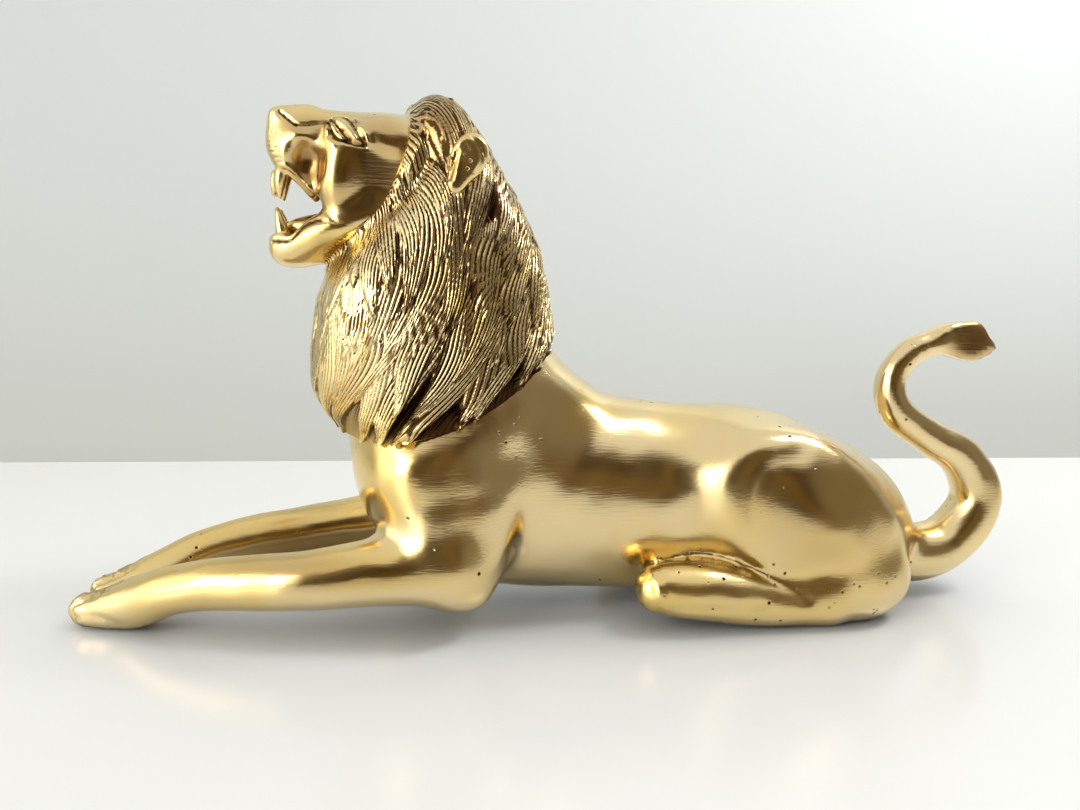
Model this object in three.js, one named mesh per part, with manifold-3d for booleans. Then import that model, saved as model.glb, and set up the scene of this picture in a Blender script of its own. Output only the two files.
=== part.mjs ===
// Brass lion lying with its head raised and its jaws open, cast in one piece.
// Millimetres, +Z up. The head looks along -X and the lion's left side is at -Y.
// The origin is on the ground, under the middle of the lion's length and width.
import * as THREE from "three";
import Module from "manifold-3d";

// Overall sizes of the finished lion.
const LENGTH = 430;
const WIDTH = 107;
const HEIGHT = 222;

// Sizes of the figure as it is drawn, which the overall sizes then stretch.
const DRAWN_LENGTH = 430;
const DRAWN_WIDTH = 107;
const DRAWN_HEIGHT = 222;

// Sizes that can be set by themselves.
const FORELEG_SPREAD = 38;
const PAW_SPREAD = 11;
const TAIL_ROOT_RADIUS = 14.5;
const TAIL_BEND_RADIUS = 12;
const TAIL_TIP_RADIUS = 6.6;
const LEAF_LENGTH = 17;
const LEAF_HEIGHT = 9.5;
const MANE_DEPTH = 3.6;
const LOCK_DEPTH = 1.2;
const LOCKS_AROUND = 9;
const LOCK_LENGTH = 52;
const FANG_LENGTH = 11;
const FANG_RADIUS = 2.2;
const EAR_HEIGHT = 25;

// Spacing of the sampling lattice, which gets finer up at the head.
const BODY_STEP = new THREE.Vector3(8.8, 6.9, 8.3);
const HEAD_STEP = new THREE.Vector3(4.2, 4.7, 4.3);
const HEAD_LEVEL = 140;
const LATTICE_MARGIN = 6;

// Blends between neighbouring forms, as the width of the fillet.
const SOFT = 22;
const FIRM = 10;
const TIGHT = 5;

// Field maths: negative inside the metal, positive outside, about one per mm.
const clamp = THREE.MathUtils.clamp;
const mix = THREE.MathUtils.lerp;

function blend(a, b, width) {
  const h = Math.max(width - Math.abs(a - b), 0) / width;
  return Math.min(a, b) - h * h * width * 0.25;
}

function carve(a, b, width) {
  return -blend(-a, b, width);
}

// A smooth function of one variable through a few stations, flat past its ends.
function profile(stations) {
  const slopes = stations.map(([x, y], i) => {
    const before = stations[Math.max(i - 1, 0)];
    const after = stations[Math.min(i + 1, stations.length - 1)];
    return (after[1] - before[1]) / (after[0] - before[0]);
  });
  return (x) => {
    const last = stations.length - 1;
    if (x <= stations[0][0]) return stations[0][1];
    if (x >= stations[last][0]) return stations[last][1];
    let i = 0;
    while (x > stations[i + 1][0]) i += 1;
    const span = stations[i + 1][0] - stations[i][0];
    const t = (x - stations[i][0]) / span;
    const t2 = t * t;
    const t3 = t2 * t;
    const share = 3 * t2 - 2 * t3;
    const fromValues = mix(stations[i][1], stations[i + 1][1], share);
    const fromSlopes = (t3 - 2 * t2 + t) * slopes[i] + (t3 - t2) * slopes[i + 1];
    return fromValues + fromSlopes * span;
  };
}

// Distance to an ellipsoid, turned about Y by a tilt in degrees (nose down is positive).
function ellipsoid(center, radii, tilt = 0) {
  const c = Math.cos(THREE.MathUtils.degToRad(tilt));
  const s = Math.sin(THREE.MathUtils.degToRad(tilt));
  return (x, y, z) => {
    const dx = x - center[0];
    const dz = z - center[2];
    const px = c * dx - s * dz;
    const py = y - center[1];
    const pz = s * dx + c * dz;
    const near = Math.hypot(px / radii[0], py / radii[1], pz / radii[2]);
    const steep = Math.hypot(px / radii[0] ** 2, py / radii[1] ** 2, pz / radii[2] ** 2);
    return steep < 1e-9 ? -Math.min(...radii) : (near * (near - 1)) / steep;
  };
}

// Distance to a round limb that follows a smooth curve through [x, y, z, radius] stations.
function limb(stations, steps = 5) {
  const path = new THREE.CatmullRomCurve3(stations.map((s) => new THREE.Vector3(s[0], s[1], s[2])));
  const girth = profile(stations.map((s, i) => [i, s[3]]));
  const count = (stations.length - 1) * steps;
  const nodes = [];
  for (let i = 0; i <= count; i += 1) {
    const point = path.getPoint(i / count);
    nodes.push([point.x, point.y, point.z, girth(i / steps)]);
  }
  return (x, y, z) => {
    let best = Infinity;
    for (let i = 0; i < count; i += 1) {
      const [ax, ay, az, ar] = nodes[i];
      const [bx, by, bz, br] = nodes[i + 1];
      const ux = bx - ax;
      const uy = by - ay;
      const uz = bz - az;
      const along = ((x - ax) * ux + (y - ay) * uy + (z - az) * uz) / (ux * ux + uy * uy + uz * uz);
      const t = clamp(along, 0, 1);
      const gap = Math.hypot(x - ax - ux * t, y - ay - uy * t, z - az - uz * t);
      best = Math.min(best, gap - mix(ar, br, t));
    }
    return best;
  };
}

// Distance, in one plane, to an oval section.
function oval(across, up, halfWidth, halfHeight) {
  const near = Math.hypot(across / halfWidth, up / halfHeight);
  const steep = Math.hypot(across / halfWidth ** 2, up / halfHeight ** 2);
  return steep < 1e-9 ? -Math.min(halfWidth, halfHeight) : (near * (near - 1)) / steep;
}

// Trunk: oval sections between the line of the back and the line of the belly.
const backLine = profile([
  [-84, 62], [-58, 88], [-22, 101], [12, 96], [46, 92],
  [86, 88], [110, 80], [130, 68], [147, 53], [160, 36],
]);
const bellyLine = profile([
  [-86, 42], [-70, 24], [-44, 12], [0, 8], [60, 6], [110, 5], [140, 8], [160, 22],
]);
const flankLine = profile([
  [-84, 24], [-58, 39], [-20, 36.5], [25, 34], [65, 34], [110, 34], [140, 27], [160, 12],
]);
const TRUNK_FRONT = -86;
const TRUNK_REAR = 161;

function trunk(x, y, z) {
  const top = backLine(x);
  const bottom = bellyLine(x);
  const section = oval(y, z - (top + bottom) / 2, flankLine(x), (top - bottom) / 2);
  const ends = Math.max(TRUNK_FRONT - x, x - TRUNK_REAR);
  return carve(section, -ends, FIRM);
}

// Neck and mane: oval sections stacked from the chest up to the crown.
const throatLine = profile([
  [56, -94], [68, -96.5], [80, -101], [92, -108], [106, -113.5], [131, -113.5], [147, -111],
  [160, -102], [176, -87], [192, -76], [206, -70], [214, -66],
]);
const napeLine = profile([
  [56, -20], [98, -6], [112, -13], [124, -20], [145, -24], [158, -28], [172, -34.5], [189, -45],
  [202, -53], [214, -61],
]);
const neckHalfWidth = profile([
  [56, 33], [80, 37], [105, 39], [132, 38], [155, 34.5], [175, 31], [195, 26], [214, 16],
]);
const NECK_BOTTOM = 56;
const NECK_TOP = 212;

function neck(x, y, z) {
  const front = throatLine(z);
  const back = napeLine(z);
  const section = oval(y, x - (front + back) / 2, neckHalfWidth(z), (back - front) / 2);
  const ends = Math.max(NECK_BOTTOM - z, z - NECK_TOP);
  return carve(section, -ends, SOFT);
}

const crown = ellipsoid([-68, 0, 198.5], [15.5, 21, 19.2], -10);

// Lower edge of the mane: it falls from the nape to the shoulder and rises to the breast.
const maneEdge = profile([
  [-118, 98], [-103, 86], [-82, 80], [-62, 86], [-46, 96], [-30, 111], [-14, 122],
]);
const MANE_EDGE_WIDTH = 3;

// Front edge of the mane: upright behind the face, then leaning forward down to the jaw.
const FACE_EDGE_X = -78;
const FACE_EDGE_Z = 192;
const FACE_EDGE_LEAN = 0.86;
const FACE_EDGE_BOTTOM = 150;
const WELL_INSIDE = -40;

// How far a point lies outside the mane's outline on the neck, negative within it.
function outsideMane(x, z) {
  const belowEdge = maneEdge(x) - z;
  const lean = Math.max(FACE_EDGE_Z - z, 0) * FACE_EDGE_LEAN;
  const aheadOfFace = z > FACE_EDGE_BOTTOM ? FACE_EDGE_X - lean - x : WELL_INSIDE;
  return Math.max(belowEdge, aheadOfFace);
}

// Long locks: shallow ridges that sweep down and forward round the neck.
const LOCK_SWEEP = 1.44;
const LOCK_WAVES = 0.9;

function locks(x, y, z) {
  const middle = (throatLine(z) + napeLine(z)) / 2;
  const around = Math.atan2(Math.abs(y), x - middle) / Math.PI;
  const fall = (HEIGHT - z) / LOCK_LENGTH;
  const row = around * LOCKS_AROUND - fall * Math.sin(Math.PI * around) * LOCK_SWEEP;
  return LOCK_DEPTH * Math.cos(row * Math.PI) * Math.cos(fall * Math.PI * LOCK_WAVES + row);
}

function mane(x, y, z) {
  const base = blend(neck(x, y, z), crown(x, y, z), FIRM);
  const cover = outsideMane(x, z);
  const raised = base - MANE_DEPTH - locks(x, y, z);
  return carve(raised, -cover, MANE_EDGE_WIDTH);
}

// Head: skull, brow, muzzle, cheeks and jaw, then the mouth is cut out of them.
const skull = ellipsoid([-84, 0, 192], [26, 22.5, 22.5]);
const forehead = ellipsoid([-92, 0, 205], [22, 15, 9.2]);
const bridge = ellipsoid([-114, 0, 204], [23, 9.5, 9.5]);
const cheek = ellipsoid([-93, 12.5, 187], [16, 10.5, 19], 28);
const cheekbone = ellipsoid([-108, 11, 193], [7, 6.5, 14], 12);
const brow = ellipsoid([-101, 12.5, 206], [9.5, 6, 5], -25);
const eyeball = ellipsoid([-106.5, 14, 201.5], [4.6, 3.6, 4.6]);
const snout = ellipsoid([-118.5, 0, 200], [14.5, 12.5, 12.5]);
const nosePad = ellipsoid([-127.6, 0, 205.4], [6.6, 9, 6.6]);
const whiskerPad = ellipsoid([-125.5, 5.5, 194], [8.8, 8.6, 8.4], 20);
const upperLip = ellipsoid([-117, 9, 186], [10, 5.2, 7.5], 28);
const chin = ellipsoid([-126.5, 0, 156.8], [8, 9.5, 7.8]);
const jaw = limb([
  [-92, 14, 172, 9], [-108, 11, 165, 8.2], [-120, 7, 159.5, 7], [-127, 3, 157.5, 6.5],
]);
const jawFloor = ellipsoid([-112, 0, 158], [16, 10, 7.5], -14);

// Mouth: a wedge that opens towards the front, and a hollow behind it.
const MOUTH_CORNER = [-116, 173.5];
const UPPER_LIP_RISE = 40;
const LOWER_LIP_FALL = 35;
const palate = ellipsoid([-118, 0, 172.5], [12, 7.5, 9]);

function mouth(x, y, z) {
  const upper = THREE.MathUtils.degToRad(UPPER_LIP_RISE);
  const lower = THREE.MathUtils.degToRad(LOWER_LIP_FALL);
  const ahead = MOUTH_CORNER[0] - x;
  const above = z - MOUTH_CORNER[1];
  const overTop = above * Math.cos(upper) - ahead * Math.sin(upper);
  const underBottom = -above * Math.cos(lower) - ahead * Math.sin(lower);
  const wedge = -blend(-overTop, -underBottom, TIGHT);
  return blend(wedge, palate(x, y, z), TIGHT);
}

function head(x, y, z) {
  const side = Math.abs(y);
  let upper = blend(skull(x, y, z), forehead(x, y, z), FIRM);
  upper = blend(upper, blend(snout(x, y, z), bridge(x, y, z), FIRM), FIRM);
  upper = blend(upper, cheek(x, side, z), FIRM);
  upper = blend(upper, cheekbone(x, side, z), TIGHT);
  upper = blend(upper, blend(nosePad(x, y, z), whiskerPad(x, side, z), TIGHT), TIGHT);
  upper = blend(upper, upperLip(x, side, z), TIGHT);
  const lower = blend(blend(jaw(x, side, z), chin(x, y, z), TIGHT), jawFloor(x, y, z), TIGHT);
  const face = carve(blend(upper, lower, TIGHT), mouth(x, y, z), 1.5);
  return blend(blend(face, brow(x, side, z), TIGHT), eyeball(x, side, z), 1);
}

// Ears: cupped leaves that stand out of the mane.
const earShell = ellipsoid([-55.5, 32, 189], [8.4, 6, EAR_HEIGHT / 2], 18);
const earHollow = ellipsoid([-57.5, 38.5, 189.5], [4.8, 4.2, EAR_HEIGHT / 2 - 4.5], 18);
const ear = (x, y, z) => carve(earShell(x, y, z), earHollow(x, y, z), 1.5);

// Forelegs: the upper arm comes down to the elbow and the forearm runs out to the paw.
const shoulder = ellipsoid([-62, 21, 62], [29, 23, 34], -12);
const ELBOW_RADIUS = 14.5;
const upperArm = limb([
  [-72, 28, 66, 20], [-66, 33, 48, 17.5], [-63, FORELEG_SPREAD - 1, 33, ELBOW_RADIUS],
]);
const forearm = limb([
  [-63, FORELEG_SPREAD, 30, ELBOW_RADIUS - 0.3],
  [-88, FORELEG_SPREAD + 0.5, 29, 13.6],
  [-120, FORELEG_SPREAD - 1, 25.5, 11.6],
  [-150, FORELEG_SPREAD - 8, 22.8, 10.6],
  [-170, (FORELEG_SPREAD + PAW_SPREAD) / 2, 18.8, 9.8],
  [-187, PAW_SPREAD + 5, 11, 10.4],
  [-200, PAW_SPREAD + 1, 7.4, 8.6],
  [-207.2, PAW_SPREAD, 6.6, 7.2],
]);
const breast = ellipsoid([-66, 0, 61], [29, 32, 30], 14);

// Hindquarters: the folded thigh, the rump behind it and the foot that lies along the belly.
const HAUNCH_SIDE = DRAWN_WIDTH / 2 - 2;
const thigh = ellipsoid([91.5, HAUNCH_SIDE - 25, 43], [45, 25, 41], 7);
const seat = ellipsoid([113, HAUNCH_SIDE - 20, 16.5], [27, 17, 17.2]);
const rump = ellipsoid([119, 0, 37], [34, 30, 31]);
const hindFoot = limb([
  [104, 38, 12, 12.2], [74, 40, 13.6, 12.6], [46, 40.5, 17.4, 13], [28, 40.5, 18.6, 10.8],
]);

// Tail: it leaves the rump low down, rises in an S and ends in a leaf.
const tail = limb([
  [142, 0, 27, TAIL_ROOT_RADIUS],
  [166, 0, 19, TAIL_ROOT_RADIUS],
  [187, 0, 24, TAIL_BEND_RADIUS + 1],
  [201.5, 0, 45, TAIL_BEND_RADIUS],
  [192, 0, 65.5, TAIL_BEND_RADIUS - 1.8],
  [171, 0, 78, TAIL_BEND_RADIUS - 3.6],
  [154, 0, 90, TAIL_TIP_RADIUS + 1.4],
  [149.5, 0, 105, TAIL_TIP_RADIUS + 0.4],
  [159, 0, 118, TAIL_TIP_RADIUS],
  [174, 0, 124, TAIL_TIP_RADIUS - 0.4],
], 6);
const leaf = ellipsoid([186, 0, 124.5], [LEAF_LENGTH, 7, LEAF_HEIGHT], 8);

// The whole lion.
function lion(x, y, z) {
  const side = Math.abs(y);
  let form = blend(trunk(x, y, z), rump(x, y, z), SOFT);
  form = blend(form, breast(x, y, z), SOFT);
  form = blend(form, shoulder(x, side, z), FIRM);
  form = blend(form, upperArm(x, side, z), FIRM);
  form = blend(form, forearm(x, side, z), FIRM);
  form = blend(form, neck(x, y, z), SOFT);
  form = blend(form, blend(thigh(x, side, z), seat(x, side, z), FIRM), FIRM);
  form = blend(form, hindFoot(x, side, z), TIGHT);
  form = blend(form, tail(x, y, z), TIGHT);
  form = blend(form, leaf(x, y, z), TIGHT);
  form = blend(form, mane(x, y, z), 2);
  form = blend(form, head(x, y, z), 3);
  return blend(form, ear(x, side, z), 2);
}

// Sampling lattice: rows of points that draw together as they rise towards the head.
const LATTICE_HALF = new THREE.Vector3(
  DRAWN_LENGTH / 2 + LATTICE_MARGIN,
  Math.max(DRAWN_WIDTH / 2, FORELEG_SPREAD + ELBOW_RADIUS) + LATTICE_MARGIN,
  0,
);
const GATHER_FROM = HEAD_LEVEL - 34;
const GATHER_TO = HEAD_LEVEL + 14;
const HEAD_FRONT = -142;
const HEAD_BACK = -36;
const HEAD_HALF_WIDTH = 44;
const columns = Math.ceil((2 * LATTICE_HALF.x) / BODY_STEP.x);
const rowsAcross = Math.ceil((2 * LATTICE_HALF.y) / BODY_STEP.y);
const levelsBelow = Math.ceil((HEAD_LEVEL + LATTICE_MARGIN) / BODY_STEP.z);
const levels = levelsBelow + Math.ceil((DRAWN_HEIGHT + LATTICE_MARGIN - HEAD_LEVEL) / HEAD_STEP.z);

function latticePoint(i, j, k) {
  const z = k <= levelsBelow
    ? -LATTICE_MARGIN + ((HEAD_LEVEL + LATTICE_MARGIN) * k) / levelsBelow
    : HEAD_LEVEL + (k - levelsBelow) * HEAD_STEP.z;
  const gather = THREE.MathUtils.smoothstep(z, GATHER_FROM, GATHER_TO);
  const u = i / columns;
  const evenX = mix(-LATTICE_HALF.x, LATTICE_HALF.x, u);
  const headShare = (HEAD_BACK - HEAD_FRONT) / HEAD_STEP.x / columns;
  const leadShare = 2 / columns;
  const behind = leadShare + headShare;
  let gatheredX = mix(HEAD_BACK, LATTICE_HALF.x, (u - behind) / (1 - behind));
  if (u < behind) gatheredX = mix(HEAD_FRONT, HEAD_BACK, (u - leadShare) / headShare);
  if (u < leadShare) gatheredX = mix(-LATTICE_HALF.x, HEAD_FRONT, u / leadShare);
  const v = (2 * j) / rowsAcross - 1;
  return [mix(evenX, gatheredX, gather), v * mix(LATTICE_HALF.y, HEAD_HALF_WIDTH, gather), z];
}

// A lattice cell: its corners, the edges between them and the edges round each face.
const AXES = [[1, 0, 0], [0, 1, 0], [0, 0, 1]];
const CORNERS = [0, 1, 2, 3, 4, 5, 6, 7].map((n) => [n & 1, (n >> 1) & 1, (n >> 2) & 1]);
const EDGES = [];
CORNERS.forEach((a, m) => CORNERS.forEach((b, n) => {
  const apart = Math.abs(a[0] - b[0]) + Math.abs(a[1] - b[1]) + Math.abs(a[2] - b[2]);
  if (m < n && apart === 1) EDGES.push([m, n]);
}));
const FACES = [];
for (const axis of [0, 1, 2]) {
  for (const side of [0, 1]) {
    const onFace = ([m, n]) => CORNERS[m][axis] === side && CORNERS[n][axis] === side;
    FACES.push([...EDGES.keys()].filter((n) => onFace(EDGES[n])));
  }
}

// The edge of a cell that starts at one corner and runs along one axis.
function edgeFrom(start, axis) {
  const first = start[0] + 2 * start[1] + 4 * start[2];
  return EDGES.findIndex(([m, n]) => m === first && n === first + (1 << axis));
}

// The separate patches in which the surface crosses a cell, as lists of crossed edges.
function patchesOf(inside) {
  const crossed = EDGES.map(([m, n]) => inside[m] !== inside[n]);
  const parent = EDGES.map((edge, n) => n);
  const root = (n) => (parent[n] === n ? n : root(parent[n]));
  for (const face of FACES) {
    const cut = face.filter((n) => crossed[n]);
    const metal = (n) => EDGES[n].find((m) => inside[m]);
    for (const a of cut) {
      for (const b of cut) {
        if (cut.length === 2 || metal(a) === metal(b)) parent[root(a)] = root(b);
      }
    }
  }
  const patches = new Map();
  crossed.forEach((cuts, n) => {
    if (cuts) patches.set(root(n), [...(patches.get(root(n)) ?? []), n]);
  });
  return patches.values();
}

// Skin of the field: a vertex for each patch of the surface in a cell, drawn onto the surface.
function skin(field) {
  const across = rowsAcross + 1;
  const upward = levels + 1;
  const index = (i, j, k) => (i * across + j) * upward + k;
  const places = [];
  const values = [];
  for (let i = 0; i <= columns; i += 1) {
    for (let j = 0; j <= rowsAcross; j += 1) {
      for (let k = 0; k <= levels; k += 1) {
        const place = latticePoint(i, j, k);
        places.push(place);
        values.push(field(...place));
      }
    }
  }
  const vertices = [];
  const vertexOf = new Map();
  for (let i = 0; i < columns; i += 1) {
    for (let j = 0; j < rowsAcross; j += 1) {
      for (let k = 0; k < levels; k += 1) {
        const ids = CORNERS.map(([a, b, c]) => index(i + a, j + b, k + c));
        const inside = ids.map((id) => values[id] < 0);
        for (const patch of patchesOf(inside)) {
          const sum = [0, 0, 0];
          for (const edge of patch) {
            const [from, to] = EDGES[edge].map((corner) => ids[corner]);
            const t = values[from] / (values[from] - values[to]);
            for (let axis = 0; axis < 3; axis += 1) sum[axis] += mix(places[from][axis], places[to][axis], t);
            vertexOf.set(index(i, j, k) * EDGES.length + edge, vertices.length / 3);
          }
          vertices.push(...settle(field, sum.map((value) => value / patch.length)));
        }
      }
    }
  }
  const triangles = [];
  for (let i = 0; i < columns; i += 1) {
    for (let j = 0; j < rowsAcross; j += 1) {
      for (let k = 0; k < levels; k += 1) {
        const here = values[index(i, j, k)] < 0;
        AXES.forEach((along, axis) => {
          const there = values[index(i + along[0], j + along[1], k + along[2])] < 0;
          if (here === there) return;
          const u = AXES[(axis + 1) % 3];
          const w = AXES[(axis + 2) % 3];
          const ring = [[0, 0], [1, 0], [1, 1], [0, 1]].map(([a, b]) => {
            const start = u.map((value, n) => a * value + b * w[n]);
            const cell = index(i - start[0], j - start[1], k - start[2]);
            return vertexOf.get(cell * EDGES.length + edgeFrom(start, axis));
          });
          if (!here) ring.reverse();
          triangles.push(...splitQuad(vertices, ring));
        });
      }
    }
  }
  return { vertices, triangles };
}

// Draws a point onto the surface along the field's slope, by small steps.
const SETTLE_ROUNDS = 4;
const SETTLE_REACH = 2.5;
const PROBE = 0.25;
const LEAST_SLOPE = 0.2;

function settle(field, start) {
  const point = [...start];
  for (let round = 0; round < SETTLE_ROUNDS; round += 1) {
    const value = field(...point);
    const slope = [0, 1, 2].map((axis) => {
      const probe = [...point];
      probe[axis] += PROBE;
      return (field(...probe) - value) / PROBE;
    });
    const steep = Math.max(slope[0] ** 2 + slope[1] ** 2 + slope[2] ** 2, LEAST_SLOPE);
    for (let axis = 0; axis < 3; axis += 1) {
      const moved = point[axis] - (value * slope[axis]) / steep;
      point[axis] = clamp(moved, start[axis] - SETTLE_REACH, start[axis] + SETTLE_REACH);
    }
  }
  return point;
}

// Splits a four-sided face along its shorter diagonal.
function splitQuad(vertices, ring) {
  const point = (n) => new THREE.Vector3().fromArray(vertices, n * 3);
  const [a, b, c, d] = ring;
  const first = point(a).distanceToSquared(point(c));
  const second = point(b).distanceToSquared(point(d));
  return first < second ? [a, b, c, a, c, d] : [a, b, d, b, c, d];
}

// Joins and cuts.
const wasm = await Module();
wasm.setup();

function solidOf(vertices, triangles) {
  return new wasm.Manifold(new wasm.Mesh({
    numProp: 3,
    vertProperties: Float32Array.from(vertices),
    triVerts: Uint32Array.from(triangles),
  }));
}

// A closed solid of a lathe or box geometry whose corners are shared by place.
function solidOfGeometry(geometry) {
  const position = geometry.getAttribute("position");
  const order = Array.from(geometry.index.array);
  const seen = new Map();
  const vertices = [];
  const shared = [];
  for (let n = 0; n < position.count; n += 1) {
    const place = [position.getX(n), position.getY(n), position.getZ(n)];
    const key = place.map((value) => value.toFixed(4)).join();
    if (!seen.has(key)) {
      seen.set(key, vertices.length / 3);
      vertices.push(...place);
    }
    shared.push(seen.get(key));
  }
  const triangles = [];
  for (let n = 0; n < order.length; n += 3) {
    const [a, b, c] = [shared[order[n]], shared[order[n + 1]], shared[order[n + 2]]];
    if (a !== b && b !== c && c !== a) triangles.push(a, b, c);
  }
  return solidOf(vertices, triangles);
}

// A fang is turned on a lathe, with its root sunk into the jaw and its point free.
const FANG_ROOT = 4;
const FANG_SIDES = 8;

function fang(x, y, z, downward) {
  const outline = [
    [0, -FANG_ROOT],
    [FANG_RADIUS, -FANG_ROOT],
    [FANG_RADIUS, 0],
    [FANG_RADIUS * 0.8, FANG_LENGTH * 0.5],
    [FANG_RADIUS * 0.3, FANG_LENGTH * 0.92],
    [0, FANG_LENGTH],
  ].map(([radius, height]) => new THREE.Vector2(radius, height));
  const geometry = new THREE.LatheGeometry(outline, FANG_SIDES);
  geometry.rotateX(downward ? -Math.PI / 2 : Math.PI / 2);
  geometry.translate(x, y, z);
  return solidOfGeometry(geometry);
}

const UPPER_FANG = [-129.5, 6, 187];
const LOWER_FANG = [-130, 5.4, 162.5];
const { vertices, triangles } = skin(lion);
let figure = solidOf(vertices, triangles);
for (const side of [-1, 1]) {
  figure = figure.add(fang(UPPER_FANG[0], side * UPPER_FANG[1], UPPER_FANG[2], true));
  figure = figure.add(fang(LOWER_FANG[0], side * LOWER_FANG[1], LOWER_FANG[2], false));
}

// The underside is filed flat where the lion stands, and that face is the ground.
const GROUND_DEPTH = 40;
const ground = new THREE.BoxGeometry(2 * DRAWN_LENGTH, 2 * DRAWN_WIDTH, GROUND_DEPTH);
ground.translate(0, 0, -GROUND_DEPTH / 2);
figure = figure.subtract(solidOfGeometry(ground));

const cast = figure.getMesh();
const geometry = new THREE.BufferGeometry();
geometry.setAttribute("position", new THREE.BufferAttribute(cast.vertProperties, 3));
geometry.setIndex(new THREE.BufferAttribute(cast.triVerts, 1));
geometry.computeBoundingBox();
const drawn = geometry.boundingBox.getSize(new THREE.Vector3());
geometry.translate(-(geometry.boundingBox.min.x + drawn.x / 2), 0, 0);
geometry.scale(LENGTH / drawn.x, WIDTH / drawn.y, HEIGHT / drawn.z);
geometry.computeVertexNormals();

const brass = new THREE.MeshStandardMaterial({ color: 0xc9a14a, roughness: 0.24, metalness: 1 });
const body = new THREE.Mesh(geometry, brass);
body.name = "lion";

const statue = new THREE.Group();
statue.add(body);

export default statue;
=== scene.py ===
"""Brass lion statue: one polished casting with a carved mane, on a plain stage."""

import math

import bpy
import numpy as np
from bpy.props import FloatProperty, FloatVectorProperty, IntProperty, PointerProperty
from bpy.types import Operator, Panel, PropertyGroup
from mathutils import Matrix, Vector


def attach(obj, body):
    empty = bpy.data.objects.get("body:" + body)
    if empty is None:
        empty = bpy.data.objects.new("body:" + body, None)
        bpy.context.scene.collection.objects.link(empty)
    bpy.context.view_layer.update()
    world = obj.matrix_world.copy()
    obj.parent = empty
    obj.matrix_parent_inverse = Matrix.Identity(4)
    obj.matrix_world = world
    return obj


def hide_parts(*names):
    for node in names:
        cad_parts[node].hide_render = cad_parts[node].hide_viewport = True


bl_info = {
    "name": "Brass Lion Statue",
    "version": (1, 0, 0),
    "blender": (4, 5, 0),
    "location": "3D View > Sidebar > Lion",
    "description": "Casts a reclining brass lion with a carved mane and sets up its stage",
    "category": "Add Mesh",
}

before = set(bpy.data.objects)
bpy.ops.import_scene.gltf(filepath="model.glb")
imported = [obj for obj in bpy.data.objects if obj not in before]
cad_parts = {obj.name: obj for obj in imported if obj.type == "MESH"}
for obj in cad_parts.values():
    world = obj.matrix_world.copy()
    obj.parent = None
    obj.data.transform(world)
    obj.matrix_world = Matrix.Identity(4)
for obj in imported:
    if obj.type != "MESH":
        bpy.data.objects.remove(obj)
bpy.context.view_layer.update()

# The figure is drawn in millimetres, as the casting's own model is.
MM = 0.001
FAR = 60.0
WIDTH = 107.0

# Fillet widths between neighbouring forms and along the edges of cuts.
SOFT = 22.0
FIRM = 10.0
TIGHT = 5.0
HAUNCH_FILLET = 12.0
MUSCLE_FILLET = 2.5
CHEEK_EDGE = 2.0
CHEEKBONE_FILLET = 4.0
LIP_FILLET = 3.0
PAD_EDGE = 3.5
FINE_FILLET = 0.8
MOUTH_EDGE = 1.2
HEAD_SEAM = 2.0
EAR_SEAM = 1.2


# Settings that a user would change.
class LionCarving(PropertyGroup):
    """Sizes of the mane's locks and strands."""

    mane_depth: FloatProperty(
        name="Mane Depth", description="How far the mane stands out from the neck",
        default=3.5 * MM, min=1.0 * MM, max=6.0 * MM, unit="LENGTH",
    )
    lock_rise: FloatProperty(
        name="Lock Rise", description="How far a lock's tip stands over the next one",
        default=2.5 * MM, min=0.0, max=4.0 * MM, unit="LENGTH",
    )
    strand_depth: FloatProperty(
        name="Strand Depth", description="Depth of the chased cuts between strands",
        default=1.0 * MM, min=0.0, max=2.0 * MM, unit="LENGTH",
    )
    lock_width: FloatProperty(
        name="Lock Width", description="Width of a lock where it is widest",
        default=15.0 * MM, min=6.0 * MM, max=30.0 * MM, unit="LENGTH",
    )
    lock_length: FloatProperty(
        name="Lock Length", description="Usual length of a lock",
        default=52.0 * MM, min=20.0 * MM, max=90.0 * MM, unit="LENGTH",
    )
    seed: IntProperty(name="Seed", description="Seed of the locks' irregular places", default=5, min=0)


class LionFinish(PropertyGroup):
    """Colours of the brass and of its patina."""

    brass: FloatVectorProperty(
        name="Brass", description="Colour of the polished metal",
        subtype="COLOR", size=4, min=0.0, max=1.0, default=(0.83, 0.665, 0.37, 1.0),
    )
    worn_brass: FloatVectorProperty(
        name="Worn Brass", description="Yellower colour of the metal where it is brushed",
        subtype="COLOR", size=4, min=0.0, max=1.0, default=(0.83, 0.60, 0.19, 1.0),
    )
    # Brown laid on in spots: partly tarnish, partly painted shade in hollows and under forms, and painted
    # reflections of the dark room.
    film_and_shade: FloatVectorProperty(
        name="Film", description="Brown tarnish where polishing didn't reach",
        subtype="COLOR", size=4, min=0.0, max=1.0, default=(0.27, 0.14, 0.035, 1.0),
    )
    patina: FloatVectorProperty(
        name="Patina", description="Dark brown left in the grooves",
        subtype="COLOR", size=4, min=0.0, max=1.0, default=(0.07, 0.033, 0.012, 1.0),
    )
    roughness: FloatProperty(
        name="Roughness", description="Roughness of the polished metal",
        default=0.17, min=0.0, max=1.0, subtype="FACTOR",
    )


class StageSettings(PropertyGroup):
    """Floor, backdrop and light."""

    floor: FloatVectorProperty(
        name="Floor", description="Colour of the pale floor",
        subtype="COLOR", size=4, min=0.0, max=1.0, default=(0.88, 0.88, 0.87, 1.0),
    )
    backdrop: FloatVectorProperty(
        name="Backdrop", description="Colour of the wall behind",
        subtype="COLOR", size=4, min=0.0, max=1.0, default=(0.78, 0.83, 0.85, 1.0),
    )
    window_power: FloatProperty(
        name="Window Power", description="Strength of the soft lights",
        default=9.0, min=0.0, unit="POWER",
    )


# Field maths: negative inside the metal, positive outside, about one per millimetre.
def blend(a, b, width):
    h = np.maximum(width - np.abs(a - b), 0.0) / width
    return np.minimum(a, b) - h * h * width * 0.25


def carve(a, b, width):
    return -blend(-a, b, width)


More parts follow.
